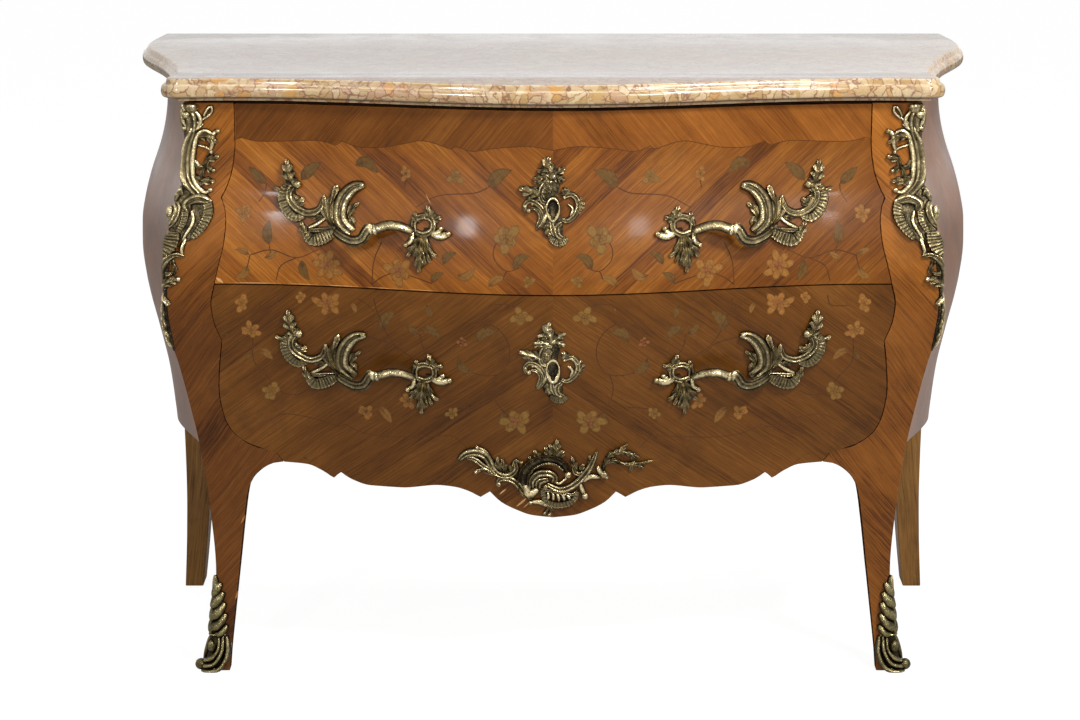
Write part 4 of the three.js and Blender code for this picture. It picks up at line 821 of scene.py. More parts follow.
def lay_scroll(shape, place, points, width, section, lobes, ends, fullness, floor):
    flat, solid = place
    length, at = curve_through([flat(u, v) for u, v in points])
    width *= fullness
    top = WEB_TOP if section is web else CREST_BASE + CREST_SHARE * width

    def spot(u, v):
        s = 2 * u - 1
        middle, along = at(v)
        swell = max(0, math.sin(math.pi * v)) ** SWELL_POWER
        end = ends[0] if v < 0.5 else ends[1]
        share, height = section(s, v, lobes)
        half = width / 2 * (end + (1 - end) * swell) * share
        x = middle[0] - along[1] * half * s
        z = middle[1] + along[0] * half * s
        if floor is not None:
            z = max(z, floor)
        return x, z, height, swell

    def outer(u, v):
        x, z, height, swell = spot(u, v)
        tip = POINT_HEIGHT if (ends[0] if v < 0.5 else ends[1]) < POINTED else END_HEIGHT
        return solid(x, z, top * height * (tip + (1 - tip) * swell))

    def inner(u, v):
        x, z, _, _ = spot(u, v)
        return solid(x, z, -CAST_SINK)

    def crest(u, v):
        return min(1, spot(u, v)[2])

    steps = max(LEAST_STEPS, math.ceil(length / SCROLL_STEP), lobes * LOBE_STEPS)
    lay_slab(shape, SCROLL_ACROSS, steps, outer, inner, crest)


def lay_ball(shape, middle, radius, tall=1):
    made = bmesh.ops.create_uvsphere(shape, u_segments=BALL_SEGMENTS[0], v_segments=BALL_SEGMENTS[1],
                                     radius=radius)
    layer = shape.verts.layers.float.get("crest")
    for vert in made["verts"]:
        vert.co.z *= tall
        vert.co += middle
        vert[layer] = BALL_CREST


def lay_boss(shape, place, at, radius, tall=1):
    """A ball at a place in a cast's box, its middle a third of its radius above its lift."""
    flat, solid = place
    lay_ball(shape, solid(*flat(*at), BALL_LIFT + radius / 3), radius, tall)


def lay_cast(shape, place, scrolls, balls, fullness=FULLNESS, floor=None):
    """fullness widens and lifts every scroll of a cast."""
    for points, width, section, lobes, ends in scrolls:
        lay_scroll(shape, place, points, width, section, lobes, ends, fullness, floor)
    for at, radius in balls:
        lay_boss(shape, place, at, radius)


# Handles
GRIP_AROUND = 20
GRIP_ALONG = 72
GRIP_DEPTH = 5.2
GRIP_COLLAR = 0.5
GRIP_BEADS = 13
GRIP_FLUTES = 7
GRIP_FLUTE_DEPTH = 0.12
GRIP_END = 2
GRIP_POWER = 0.5
# Rings beyond the collar's place, as (place, height, width), all shares
GRIP_RINGS = ((0, 0.28, 0.018), (0.05, 0.2, 0.012))
GRIP_BEAD_START = 0.08
GRIP_BEAD = (0.3, 0.35)
GRIP_BEAD_LOW = 0.45
# Shares of the width before and after the collar: at the end, and gained towards the middle
GRIP_WAISTS = ((0.76, 0.36), (0.88, 0.16))
GRIP_CREST = (0.42, 0.28, 2)  # at its sides, gained on top, and gained by its swell


def lay_grip(shape, place):
    flat, solid = place
    points, width = GRIP
    _, at = curve_through([flat(u, v) for u, v in points])

    def spot(u, v):
        turn = 2 * math.pi * u
        rise = max(0, math.sin(math.pi * v)) ** GRIP_POWER
        past = v - GRIP_COLLAR
        swell = 1 + sum(ridge(past - ring, height, wide) for ring, height, wide in GRIP_RINGS)
        if past > GRIP_BEAD_START:
            run = (past - GRIP_BEAD_START) / (1 - GRIP_COLLAR - GRIP_BEAD_START)
            bead = GRIP_BEAD_LOW + (1 - GRIP_BEAD_LOW) * abs(math.sin(math.pi * GRIP_BEADS * run))
            swell += ridge(math.cos(turn), *GRIP_BEAD) * max(0, math.sin(turn)) * bead
        if past < 0:
            swell += GRIP_FLUTE_DEPTH * math.cos(GRIP_FLUTES * turn)
        end, gain = GRIP_WAISTS[past >= 0]
        return turn, rise, swell, end + gain * rise

    def shell_place(u, v):
        turn, rise, swell, waist = spot(u, v)
        middle, along = at(v)
        side = math.cos(turn) * width / 2 * swell * waist
        height = (GRIP_LIFT + GRIP_DEPTH) * rise + GRIP_END * (1 - rise)
        height += math.sin(turn) * GRIP_DEPTH * swell
        return solid(middle[0] - along[1] * side, middle[1] + along[0] * side, height)

    def crest(u, v):
        turn, _, swell, _ = spot(u, v)
        side, top, proud = GRIP_CREST
        return min(1, side + top * math.sin(turn) + proud * (swell - 1))

    lay_tube(shape, GRIP_AROUND, GRIP_ALONG, shell_place, crest=crest)


ROD_SIDES = 16


def lay_rod(shape, x, z, radius, start, reach):
    """A rod that runs straight back into the chest from y = start."""
    made = bmesh.ops.create_cone(shape, cap_ends=True, segments=ROD_SIDES, radius1=radius,
                                 radius2=radius, depth=reach)
    for vert in made["verts"]:
        vert.co = Vector((x + vert.co.x, start + reach / 2 + vert.co.z, z + vert.co.y))


def handle_studs(place):
    return [place[0](u, v) for u, v in STUD_PLACES]


def make_handles(body, height):
    place = on_front((HANDLE_MIDDLE, height), HANDLE_SIZE)
    shape = new_shape()
    lay_cast(shape, place, HANDLE_SCROLLS, HANDLE_BALLS)
    lay_grip(shape, place)
    for x, z in handle_studs(place):
        lay_rod(shape, x, z, STUD_RADIUS, front_y(x, z) - BALL_LIFT, STUD_REACH)
    for side, piece in set_down_pair(body + "_handle_cast", shape, [bronze], made_for="left"):
        settle(piece, body, "bronze", body + "_handle_" + side)


# Escutcheons
LOWER_RELIEF = 0.6
ESCUTCHEON_FULLNESS = 1.35
KEY_PLATE = (21, 37)
PLATE_AROUND = 56
# Rings of the key plate, as (share of the way from the keyhole to the rim, height)
PLATE_RINGS = ((1, -0.8), (1, 6.6), (0.86, 9.4), (0.68, 9.8), (0.52, 8.4), (0.42, 4.2), (0.2, 3), (0, 2.4),
               (0, -0.8))
PLATE_CREST = 9.5  # height of its brightest edge


def keyhole_reach(turn):
    """From the middle of the round of the keyhole to its edge, in the direction of turn."""
    across = abs(math.cos(turn))
    down = -math.sin(turn)
    if down <= 0:
        return KEYHOLE_RADIUS
    slot = min(KEY_WAY / 2 / max(across, TINY), (KEYHOLE_HEIGHT - KEYHOLE_RADIUS) / down)
    return max(KEYHOLE_RADIUS, slot)


def lay_key_plate(shape, key, relief):
    middle = key + KEYHOLE_HEIGHT / 2 - KEYHOLE_RADIUS
    drop = middle - key
    base = front_y(0, key)
    rings = len(PLATE_RINGS)

    def spot(u, v):
        turn = 2 * math.pi * u
        share, height = PLATE_RINGS[round(v * rings) % rings]
        inner = [keyhole_reach(turn) * math.cos(turn), keyhole_reach(turn) * math.sin(turn)]
        outer = [KEY_PLATE[0] / 2 * math.cos(turn), KEY_PLATE[1] / 2 * math.sin(turn) - drop]
        x, z = [a + (b - a) * share for a, b in zip(inner, outer)]
        return Vector((x, base - relief * height, middle + z))

    def crest(u, v):
        return max(0, PLATE_RINGS[round(v * rings) % rings][1]) / PLATE_CREST

    lay_tube(shape, PLATE_AROUND, rings, spot, closed_end=True, crest=crest)


def make_escutcheon(name, key, body, relief):
    """relief lowers the cast where the belly of the front leaves it less room."""
    flat, solid = on_front((ESCUTCHEON_SHIFT[0], key + ESCUTCHEON_SHIFT[1]), ESCUTCHEON_SIZE)
    place = (flat, lambda x, z, h: solid(x, z, relief * h))
    shape = new_shape()
    lay_cast(shape, place, ESCUTCHEON_SCROLLS, ESCUTCHEON_BALLS, ESCUTCHEON_FULLNESS)
    lay_key_plate(shape, key, relief)
    settle(set_down(name + "_cast", shape, [bronze]), body, "bronze", name)


# Apron mount
BEAD_PITCH = 2.9
BEAD_LIFT = 7


def make_apron_mount():
    place = on_front(APRON_MIDDLE, APRON_SIZE)
    shape = new_shape()
    lay_cast(shape, place, APRON_SCROLLS, APRON_BALLS)
    points, radius = APRON_BEADS
    length, at = curve_through([place[0](u, v) for u, v in points])
    count = int(length / BEAD_PITCH)
    for i in range(count + 1):
        lay_ball(shape, place[1](*at(i / count)[0], BEAD_LIFT), radius)
    settle(set_down("apron_mount_cast", shape, [bronze]), "lower_drawer", "bronze", "apron_mount")


# Corner mounts and sabots
CORNER_STAND = 0.16
CORNER_FULLNESS = 1.3
SABOT_STAND = 0.8
SABOT_FULLNESS = 1.5
BOSS_TALL = 1.7


def make_corner_casts(name, box, stand, scrolls, balls, boss, fullness, top):
    """A pair of casts round the front corners, cut off at the floor and at their top."""
    place = on_corner(*box, stand)
    shape = new_shape()
    lay_cast(shape, place, scrolls, balls, fullness, floor=0)
    lay_boss(shape, place, *boss, BOSS_TALL)
    for vert in shape.verts:
        vert.co.z = min(max(vert.co.z, 0), top)
    for side, piece in set_down_pair(name + "_cast", shape, [bronze]):
        settle(piece, "carcass", "bronze", name + "_" + side)


# Slab
SLAB_SIDE_STEPS = 60
SLAB_TURN_STEPS = 10
SLAB_FRONT_STEPS = 60
MOULDING_STEPS = 26


def slab_outline():
    def bell(t):
        return 0.5 * (1 + math.cos(math.pi * t)) if abs(t) < 1 else 0

    front = CARCASS_DEPTH + MARBLE_OVERHANG + EAR_FORWARD
    half = []
    for y in spread(MARBLE_BACK, -(front - EAR_RADIUS), SLAB_SIDE_STEPS):
        swell = EAR_OUT * bell((y + CARCASS_DEPTH) / EAR_LENGTH)
        swell += FLANK_OUT * bell((y + FLANK_PLACE) / FLANK_LENGTH)
        half.append((side_x(min(y, 0), CARCASS_TOP) + MARBLE_OVERHANG + swell, y))
    middle = (half[-1][0] - EAR_RADIUS, -(front - EAR_RADIUS))
    for turn in spread(0, math.pi / 2, SLAB_TURN_STEPS)[1:]:
        half.append((middle[0] + EAR_RADIUS * math.cos(turn), middle[1] - EAR_RADIUS * math.sin(turn)))
    for x in spread(middle[0], 0, SLAB_FRONT_STEPS)[1:]:
        ear = EAR_FORWARD * bell((middle[0] - x) / EAR_LENGTH)
        half.append((x, -(CARCASS_DEPTH + MARBLE_OVERHANG + ear + FRONT_SWEEP * sweep_at(x))))
    share = top_of("marble_top").x / MM / max(x for x, _ in half)
    half = [(x * share, y) for x, y in half]
    return half + [(-x, y) for x, y in reversed(half[:-1])]


def make_slab():
    outline = slab_outline()
    count = len(outline)
    shares = spread(0, 1, len(MARBLE_MOULDING) - 1)
    depth_at, height_at = [smooth_through(list(zip(shares, run))) for run in zip(*MARBLE_MOULDING)]
    thickness = OVERALL_HEIGHT - CARCASS_TOP

    def spot(u, v):
        i = round(u * count) % count
        inset = depth_at(v) * MARBLE_EDGE
        z = CARCASS_TOP + height_at(v) * thickness
        x, y = outline[i]
        if i in (0, count - 1):
            return Vector((x - inset * math.copysign(1, x), y, z))
        (ax, ay), (bx, by) = outline[i - 1], outline[i + 1]
        run = math.hypot(bx - ax, by - ay)
        return Vector((x + inset * (by - ay) / run, y - inset * (bx - ax) / run, z))

    shape = new_shape()
    lay_tube(shape, count, MOULDING_STEPS, spot)
    settle(set_down("marble_slab", shape, [marble], sharp=SLAB_SHARP), "carcass", "marble", "marble_top")


# Posts and side panels
POST_FRONT_STEPS = 12
POST_SIDE_STEPS = 10
POST_HIDDEN_STEPS = 3
POST_STEP_SHARE = 0.003
EDGE_SKIN = 0.2
POST_SOFTNESS = 1.2
# Chips in the left leg's inner edge, as (points, width)
LEG_CHIPS = (
    (((-450.5, 220), (-447, 227), (-444.5, 232)), 2.8),
    (((-462, 104), (-459.5, 111), (-458, 117)), 2.8),
    (((-473, 27), (-470, 34), (-467.5, 41)), 4),
)


def post_ring(z):
    """The outline of a front post: its front, its side and its hidden faces."""
    inner = opening_edge(z)
    corner = corner_x(z)
    arm_end = -(CARCASS_DEPTH - POST_SIDE)
    leg_end = min(arm_end, corner_y(z) + POST_SIDE * leg_depth_at(z / CARCASS_TOP))
    leg = ease((LEG_START - z / CARCASS_TOP) / LEG_BLEND)
    rear = arm_end + (leg_end - arm_end) * leg
    width = corner - inner
    ring = [Vector((x, front_y(x, z), z)) for x in spread(inner, corner, POST_FRONT_STEPS)]
    ring += [Vector((side_x(y, z), y, z)) for y in spread(corner_y(z), rear, POST_SIDE_STEPS)[1:]]

    def thick(span):
        return POST_THICKNESS + (span * LEG_THICKNESS - POST_THICKNESS) * leg

    side_back = side_x(rear, z) - thick(width)
    front_back = front_y(inner, z) + thick(rear - corner_y(z))
    stile = (side_x(rear, z) - POST_THICKNESS, corner_y(z) + POST_THICKNESS)
    out = width * LEG_CORNER
    foot = ((inner + side_back) / 2 - out, (rear + front_back) / 2 + out)
    inside = [a + (b - a) * leg for a, b in zip(stile, foot)]
    turns = [ring[-1], Vector((side_back, rear, z)), Vector((*inside, z)), Vector((inner, front_back, z)),
             ring[0]]
    for a, b in zip(turns, turns[1:]):
        ring += [a.lerp(b, share) for share in spread(0, 1, POST_HIDDEN_STEPS)[1:]]
    return ring[:-1]


def make_front_posts():
    heights = [share * CARCASS_TOP for share in places_along(OPENING_EDGE, POST_STEP_SHARE)]
    heights = [z for z in heights if z < POST_TOP] + [POST_TOP]
    rings = [post_ring(z) for z in heights]
    count = len(rings[0])
    shape = new_shape()
    lay_tube(shape, count, len(rings) - 1,
             lambda u, v: rings[round(v * (len(rings) - 1))][round(u * count) % count])
    # Painted shade: the faces of a post beside the drawer opening get the near-black wood.
    for face in shape.faces:
        if all(vert.co.x < opening_edge(vert.co.z) + EDGE_SKIN for vert in face.verts):
            face.material_index = 1
    for side, piece in set_down_pair("front_post_veneer", shape, [post_veneer, painted_shade_wood], sharp=CASE_SHARP):
        soften(piece, POST_SOFTNESS)
        settle(piece, "carcass", "veneer", "front_post_" + side)


REAR_POST_STEPS = 70
REAR_POST_SIDES = 4
REAR_SOFTNESS = 1.5


def make_rear_posts():
    def ring(z):
        outer = side_x(0, z)
        front = min(side_x(-REAR_POST_DEPTH, z), outer + REAR_POST_DEPTH)
        foot = outer - REAR_FOOT_WIDTH
        rear_inner = REAR_SPAN / 2 - REAR_POST_WIDTH
        inner = foot + (rear_inner - foot) * rear_foot_at(z / CARCASS_TOP)
        return ((inner, 0), (inner, -REAR_POST_DEPTH), (front, -REAR_POST_DEPTH), (outer, 0))

    def corner_place(u, v):
        z = v * POST_TOP
        return Vector((*ring(z)[round(u * REAR_POST_SIDES) % REAR_POST_SIDES], z))

    shape = new_shape()
    lay_tube(shape, REAR_POST_SIDES, REAR_POST_STEPS, corner_place)
    for side, piece in set_down_pair("rear_post_wood", shape, [leg_veneer], sharp=CASE_SHARP):
        soften(piece, REAR_SOFTNESS)
        settle(piece, "carcass", "plain_wood", "rear_post_" + side)


PANEL_STEPS = (48, 64)
PANEL_SKIN = 0.6  # keeps the smooth panel behind the facets that stand for it


def make_side_panels():
    front = -(CARCASS_DEPTH - POST_SIDE) + SEAT_GAP
    rear = -REAR_POST_DEPTH - SEAT_GAP

    def spot(u, v, depth):
        y = front + (rear - front) * u
        low = CARCASS_TOP * side_edge_at(u)
        z = low + (POST_TOP - low) * v
        return Vector((side_x(y, z) - PANEL_SKIN - depth, y, z))

    shape = new_shape()
    lay_slab(shape, *PANEL_STEPS, lambda u, v: spot(u, v, 0), lambda u, v: spot(u, v, PANEL_THICKNESS))
    for side, piece in set_down_pair("side_veneer", shape, [side_veneer], sharp=CASE_SHARP):
        settle(piece, "carcass", "veneer", "side_panel_" + side)


# Drawer fronts
FRONT_STEPS = (132, 40)
EDGE_STEP_SHARE = 0.012
MITRE_LIMIT = 0.5
KEY_STEPS = 40
KEY_REACH = 3 * FRONT_THICKNESS


def outward_of(line, distance):
    """A line of x, z points moved outwards, away from the middle of the chest."""
    moved = []
    for i, (x, z) in enumerate(line):
        ax, az = line[max(0, i - 1)]
        bx, bz = line[min(len(line) - 1, i + 1)]
        before = math.atan2(z - az, x - ax)
        after = math.atan2(bz - z, bx - x)
        first = after if i == 0 else before
        last = before if i == len(line) - 1 else after
        reach = distance / max(MITRE_LIMIT, math.cos((last - first) / 2))
        turn = (first + last) / 2
        moved.append((x + math.sin(turn) * reach, z - math.cos(turn) * reach))
    return moved


def straight_through(points):
    def at(place):
        i = 0
        while i < len(points) - 2 and points[i + 1][0] < place:
            i += 1
        (a, va), (b, vb) = points[i], points[i + 1]
        return va + (vb - va) * (place - a) / (b - a)

    return at


def front_outline(low, top, side_range):
    """The two edges of a drawer front: its floor for a share across, and its half width for a share up."""
    heights = [share * CARCASS_TOP for share in places_along(OPENING_EDGE, EDGE_STEP_SHARE)]
    heights = [z for z in heights if side_range[0] + DRAWER_GAP < z < side_range[1] - DRAWER_GAP]
    opening = [(opening_edge(z), z) for z in [side_range[0], *heights, side_range[1]]]
    edge = outward_of(opening, -DRAWER_GAP)
    first, last = edge[0][1], edge[-1][1]
    half_at = straight_through([((z - first) / (last - first), x) for x, z in edge])
    return (lambda u: low(u * edge[0][0])), half_at, top


def make_drawer_front(name, outline, key, handle_height, veneer, places):
    floor_at, half_at, top = outline

    def spot(u, v, depth, inset):
        share = places[round(u * (len(places) - 1))]
        x = share * (half_at(v) - inset)
        floor = floor_at(share)
        z = floor + (top - floor) * v
        return Vector((x, front_y(x, z) + depth, z))

    shape = new_shape()
    lay_slab(shape, len(places) - 1, FRONT_STEPS[1],
             lambda u, v: spot(u, v, 0, 0), lambda u, v: spot(u, v, FRONT_THICKNESS, BACK_EASE))
    piece = set_down(name + "_front_veneer", shape, [veneer], sharp=FRONT_SHARP)
    tool = new_shape()
    face = front_y(0, key)
    round_middle = key + KEYHOLE_HEIGHT / 2 - KEYHOLE_RADIUS

    def key_wall(u, v):
        turn = 2 * math.pi * u
        out = keyhole_reach(turn)
        return Vector((out * math.cos(turn), face - FRONT_THICKNESS + v * KEY_REACH,
                       round_middle + out * math.sin(turn)))

    lay_tube(tool, KEY_STEPS, 1, key_wall)
    for x, z in handle_studs(on_front((HANDLE_MIDDLE, handle_height), HANDLE_SIZE)):
        for side in (-1, 1):
            y = front_y(x, z)
            seat = y + FRONT_THICKNESS - NUT_SEAT
            lay_rod(tool, side * x, z, STUD_RADIUS + SEAT_GAP, y - NUT_SEAT, FRONT_THICKNESS)
            lay_rod(tool, side * x, z, NUT_RADIUS + DRAWER_GAP, seat, FRONT_THICKNESS)
    cut_away(piece, tool)
    settle(piece, name, "veneer", name + "_front")


# Marquetry. Every shape is drawn for the left half, in millimetres as x and z on the front, and
# repeated in mirror image on the right.
INLAY_PROUD = 0.1
INLAY_SINK = 0.4
INLAY_ACROSS = 6
STEM_WIDTH = 1.7
LINE_WIDTH = 1.1
INLAY_STEP = 6
RIBBON_STEPS = 4
RIBBON_ACROSS = 2
RIM_SLOPE = 5  # how fast the scorched rim of a ribbon fades inwards
START_SLOPE = 1.8  # and from its start
STEM_START = 1.1
STEM_TAPER = 0.4
LEAF_WIDTH = 0.42
LEAF_LEAST = 0.02
LEAF_LEAN = 0.8
LEAF_FULL = 0.85
VEIN_WIDTH = 0.7
VEIN_START = 1.1
VEIN_PROUD = 0.05
CHIP_PROUD = 0.05
CHIP_END = 0.2

# Petals and flowers. A width or a length is a share of the radius.
PETAL_START = 0.1
PETAL_MIDDLE = 0.55
PETAL_BEND = 0.12
PETAL_BEND_TURNS = 5
PETAL_FOOT = 0.08
PETAL_RUN = 0.86
PETAL_LEAN = 1.3
PETAL_FULL = 0.8
PETAL_LEAST = 0.05
PETAL_TIP = 0.2  # width of a petal's blunt end, as a share of its own
PETAL_LAYER = 0.012  # each petal lies this much over the last
PETAL_WIDTH = 3.3
PETAL_LENGTH = 0.9
PETAL_STRAY = 0.2
FLOWER_RINGS = (1, 0.6)
HEART_PETALS = 3
HEART_TURN = 0.4
HEART_SIZE = (0.24, 0.2)

UPPER_STEMS = (
    ((-401, 721), (-403, 709), (-412, 696)),
    ((-423, 624), (-394, 631), (-359, 621), (-328, 633)),
    ((-424, 624), (-426, 616), (-428, 607)),
    ((-359, 621), (-381, 609), (-388, 588)),
    ((-238, 648), (-249, 621), (-252, 588)),
    ((-252, 588), (-240, 598), (-224, 606)),
    ((-65, 672), (-81, 647), (-80, 629), (-64, 615), (-46, 620)),
    ((-64, 615), (-67, 609), (-69, 603)),
    ((-90, 727), (-109, 719), (-157, 714), (-190, 697)),
    ((-204, 734), (-205, 728), (-206, 722)),
    ((-397, 637), (-396, 631), (-395, 625)),
    ((-168, 594), (-186, 600), (-204, 605)),
)
UPPER_LEAVES = (
    ((-401, 721), (-412, 731), (-426, 745)),
    ((-352, 727), (-339, 742), (-323, 753)),
    ((-275, 750), (-260, 756), (-243, 741)),
    ((-89, 727), (-75, 744), (-56, 752)),
    ((-397, 638), (-400, 655), (-396, 672)),
    ((-351, 618), (-349, 602), (-340, 590)),
    ((-152, 621), (-146, 633), (-133, 638)),
    ((-168, 594), (-163, 604), (-151, 610)),
    ((-54, 618), (-45, 633), (-31, 636)),
)
UPPER_PALE_LEAVES = (
    ((-425, 624), (-436, 630), (-445, 631)),
    ((-404, 620), (-396, 622), (-386, 629)),
    ((-428, 609), (-433, 596), (-447, 592)),
    ((-132, 608), (-121, 605), (-108, 618)),
    ((-89, 593), (-78, 604), (-65, 606)),
)
UPPER_LINES = (
    ((-446, 780), (-438, 786), (-428, 783), (-409, 780), (-374, 781), (-335, 783), (-316, 781),
     (-304, 777)),
    ((-304, 777), (-298, 780), (-294, 784)),
    ((-294, 784), (-282, 779), (-268, 776), (-236, 777), (-207, 783), (-185, 788), (-166, 786),
     (-142, 778)),
    ((-142, 778), (-137, 780), (-134, 783)),
    ((-134, 783), (-125, 779), (-109, 776), (-78, 781), (-34, 784), (0, 779)),
)
# Chipped veneer, as (points, width). The thin lines along the lower edge at z 584 are a pale worn edge that
# is also painted highlight.
UPPER_CHIPS_AND_HIGHLIGHT = (
    (((-472, 591), (-468, 588), (-463, 584.5)), 5),
    (((-455, 584), (-420, 584), (-381, 584)), 1),
    (((-372, 584), (-350, 584), (-329, 584)), 0.8),
    (((-322, 584), (-290, 584), (-271, 584)), 0.9),
    (((-262, 584), (-235, 584), (-214, 584)), 0.7),
    (((-205, 584), (-180, 584), (-160, 584)), 0.6),
    (((-176, 716), (-172, 707), (-168, 701)), 0.9),
)
LOWER_CHIPS = (
    (((-76, 279), (-71, 284), (-66, 288)), 2),
    (((-52, 261), (-44, 268), (-36, 276)), 3.4),
    (((-42, 259), (-36, 265), (-31, 270)), 1.6),
)

LOWER_STEMS = (
    ((-250, 569), (-244, 547), (-225, 508), (-187, 478)),
    ((-272, 567), (-260, 560), (-250, 550)),
    ((-260, 513), (-228, 505), (-216, 495)),
    ((-185, 521), (-182, 504), (-173, 488)),
    ((-119, 534), (-100, 543), (-75, 533), (-61, 510), (-63, 483), (-79, 465), (-109, 466),
     (-128, 480), (-131, 488)),
    ((-79, 465), (-84, 444), (-79, 423), (-63, 402)),
    ((-422, 510), (-424, 486), (-422, 467), (-405, 446), (-387, 424), (-364, 419), (-344, 429)),
    ((-385, 567), (-390, 553), (-416, 552)),
    ((-135, 410), (-120, 413), (-105, 414)),
    ((-80, 568), (-59, 569), (-45, 558)),
)
LOWER_LEAVES = (
    ((-239, 522), (-236, 538), (-220, 553)),
    ((-186, 521), (-197, 527), (-204, 536)),
    ((-183, 526), (-169, 528), (-156, 516)),
    ((-423, 482), (-430, 477), (-434, 471)),
    ((-105, 513), (-97, 527), (-78, 529)),
    ((-131, 487), (-126, 473), (-111, 466)),
    ((-176, 564), (-172, 555), (-168, 544)),
    ((-70, 409), (-70, 395), (-79, 388)),
)
LOWER_PALE_LEAVES = (
    ((-418, 484), (-407, 484), (-395, 471)),
    ((-247, 406), (-239, 400), (-228, 382)),
    ((-282, 561), (-277, 553), (-276, 545)),
)
LOWER_LINES = (
    ((-404, 378), (-392, 386), (-377, 389), (-349, 385), (-323, 379), (-307, 372)),
    ((-307, 372), (-300, 374), (-295, 377)),
    ((-295, 377), (-281, 369), (-261, 363), (-229, 361), (-186, 364), (-146, 368)),
    ((-146, 368), (-136, 365), (-122, 350)),
)


def lay_ribbon(shape, points, half_at, slot, proud=INLAY_PROUD, across=RIBBON_ACROSS):
    """A thin strip of veneer along points; half_at gives half its width at a share of its length."""
    length, at = curve_through(points)
    steps = max(RIBBON_STEPS, math.ceil(length / INLAY_STEP))

    def spot(u, v, depth):
        (x, z), along = at(v)
        out = half_at(v) * (2 * u - 1)
        x -= along[1] * out
        z += along[0] * out
        return Vector((x, front_y(x, z) - depth, z))

    def margin(u, v):
        return min(1, RIM_SLOPE * min(u, 1 - u, 1 - v), START_SLOPE * v)

    known = len(shape.faces)
    lay_slab(shape, across, steps, lambda u, v: spot(u, v, proud), lambda u, v: spot(u, v, -INLAY_SINK),
             crest=margin)
    for face in list(shape.faces)[known:]:
        face.material_index = slot


def lay_petal(shape, x, z, turn, length, width, slot, proud, start=PETAL_START):
    """One petal that points away from x, z. It is broadest near its blunt end."""
    out = (math.cos(turn), math.sin(turn))
    bend = PETAL_BEND * length * math.sin(PETAL_BEND_TURNS * turn)
    points = [(x + out[0] * length * share - out[1] * bent, z + out[1] * length * share + out[0] * bent)
              for share, bent in ((start, 0), (PETAL_MIDDLE, bend), (1, 0))]

    def half_at(v):
        swell = math.sin(math.pi * (PETAL_FOOT + PETAL_RUN * v ** PETAL_LEAN)) ** PETAL_FULL
        return width / 2 * max(PETAL_TIP * (v > 0.5), swell, PETAL_LEAST)

    lay_ribbon(shape, points, half_at, slot, proud, INLAY_ACROSS)


def lay_flower(shape, x, z, radius, petals, slot, centre):
    """Petals in two rounds about a blushing heart, each petal a piece of veneer of its own."""
    layer = 0
    for ring, share in enumerate(FLOWER_RINGS):
        for i in range(petals):
            place = i + ring / 2 + PETAL_STRAY * math.sin(2 * i + z)
            wide = PETAL_WIDTH * radius * share / petals
            length = radius * share * (PETAL_LENGTH + PETAL_STRAY * math.cos(3 * i + x))
            layer += PETAL_LAYER
            lay_petal(shape, x, z, 2 * math.pi * place / petals + x / radius, length, wide, slot + ring,
                      INLAY_PROUD + layer)
    for i in range(HEART_PETALS):
        turn = 2 * math.pi * i / HEART_PETALS + HEART_TURN
        layer += PETAL_LAYER
        lay_petal(shape, x, z, turn, radius * HEART_SIZE[0], radius * HEART_SIZE[1], centre,
                  INLAY_PROUD + layer, start=0)


def lay_leaf(shape, points, slot):
    """A leaf of veneer with a dark vein along it."""
    half = curve_through(points)[0] * LEAF_WIDTH / 2
    lay_ribbon(shape, points,
               lambda v: half * max(LEAF_LEAST, math.sin(math.pi * v ** LEAF_LEAN) ** LEAF_FULL), slot,
               across=INLAY_ACROSS)
    lay_ribbon(shape, points, lambda v: VEIN_WIDTH / 2 * (VEIN_START - v), LINE_SLOT,
               proud=INLAY_PROUD + VEIN_PROUD, across=1)


def make_marquetry(name, leaves, pale_leaves, flowers, stems, lines):
    shape = new_shape()
    for points in stems:
        lay_ribbon(shape, points, lambda v: STEM_WIDTH / 2 * (STEM_START - STEM_TAPER * v), STEM_SLOT,
                   across=1)
    for slot, group in ((LEAF_SLOT, leaves), (PALE_LEAF_SLOT, pale_leaves)):
        for points in group:
            lay_leaf(shape, points, slot)
    for flower in flowers:
        lay_flower(shape, *flower)
    for points in lines:
        lay_ribbon(shape, points, lambda v: LINE_WIDTH / 2, LINE_SLOT, across=1)
    piece = set_down(name + "_marquetry", shape, inlay_woods, sharp=INLAY_SHARP)
    both_sides(piece)
    settle(piece, name, "veneer")


def make_chips(name, chips, wood, body):
    """Bare wood where the veneer has chipped away, each spot along its own line; along the upper drawer's
    lower edge these lines also stand for painted highlight.
    """
    shape = new_shape()
    for points, width in chips:
        lay_ribbon(shape, points, lambda v: width / 2 * max(CHIP_END, math.sin(math.pi * v)), 0,
                   proud=INLAY_PROUD + CHIP_PROUD)
    settle(set_down(name, shape, [wood]), body, "veneer")


def both_sides(piece):
    """Repeats a piece of the left half in mirror image on the right."""
    shape = bmesh.new()
    shape.from_mesh(piece.data)
    bmesh.ops.mirror(shape, geom=shape.verts[:] + shape.edges[:] + shape.faces[:], axis="X", merge_dist=-1)
    bmesh.ops.recalc_face_normals(shape, faces=shape.faces)
    shape.to_mesh(piece.data)
    shape.free()


BAND_STEPS = (96, 9)
BAND_PROUD = 0.07
BAND_INSET = 0.5
BAND_GUESS = 0.5  # the first height that the ends of the band are worked out for
BAND_TRIES = 3  # each brings the end of the band closer to the edge of the opening


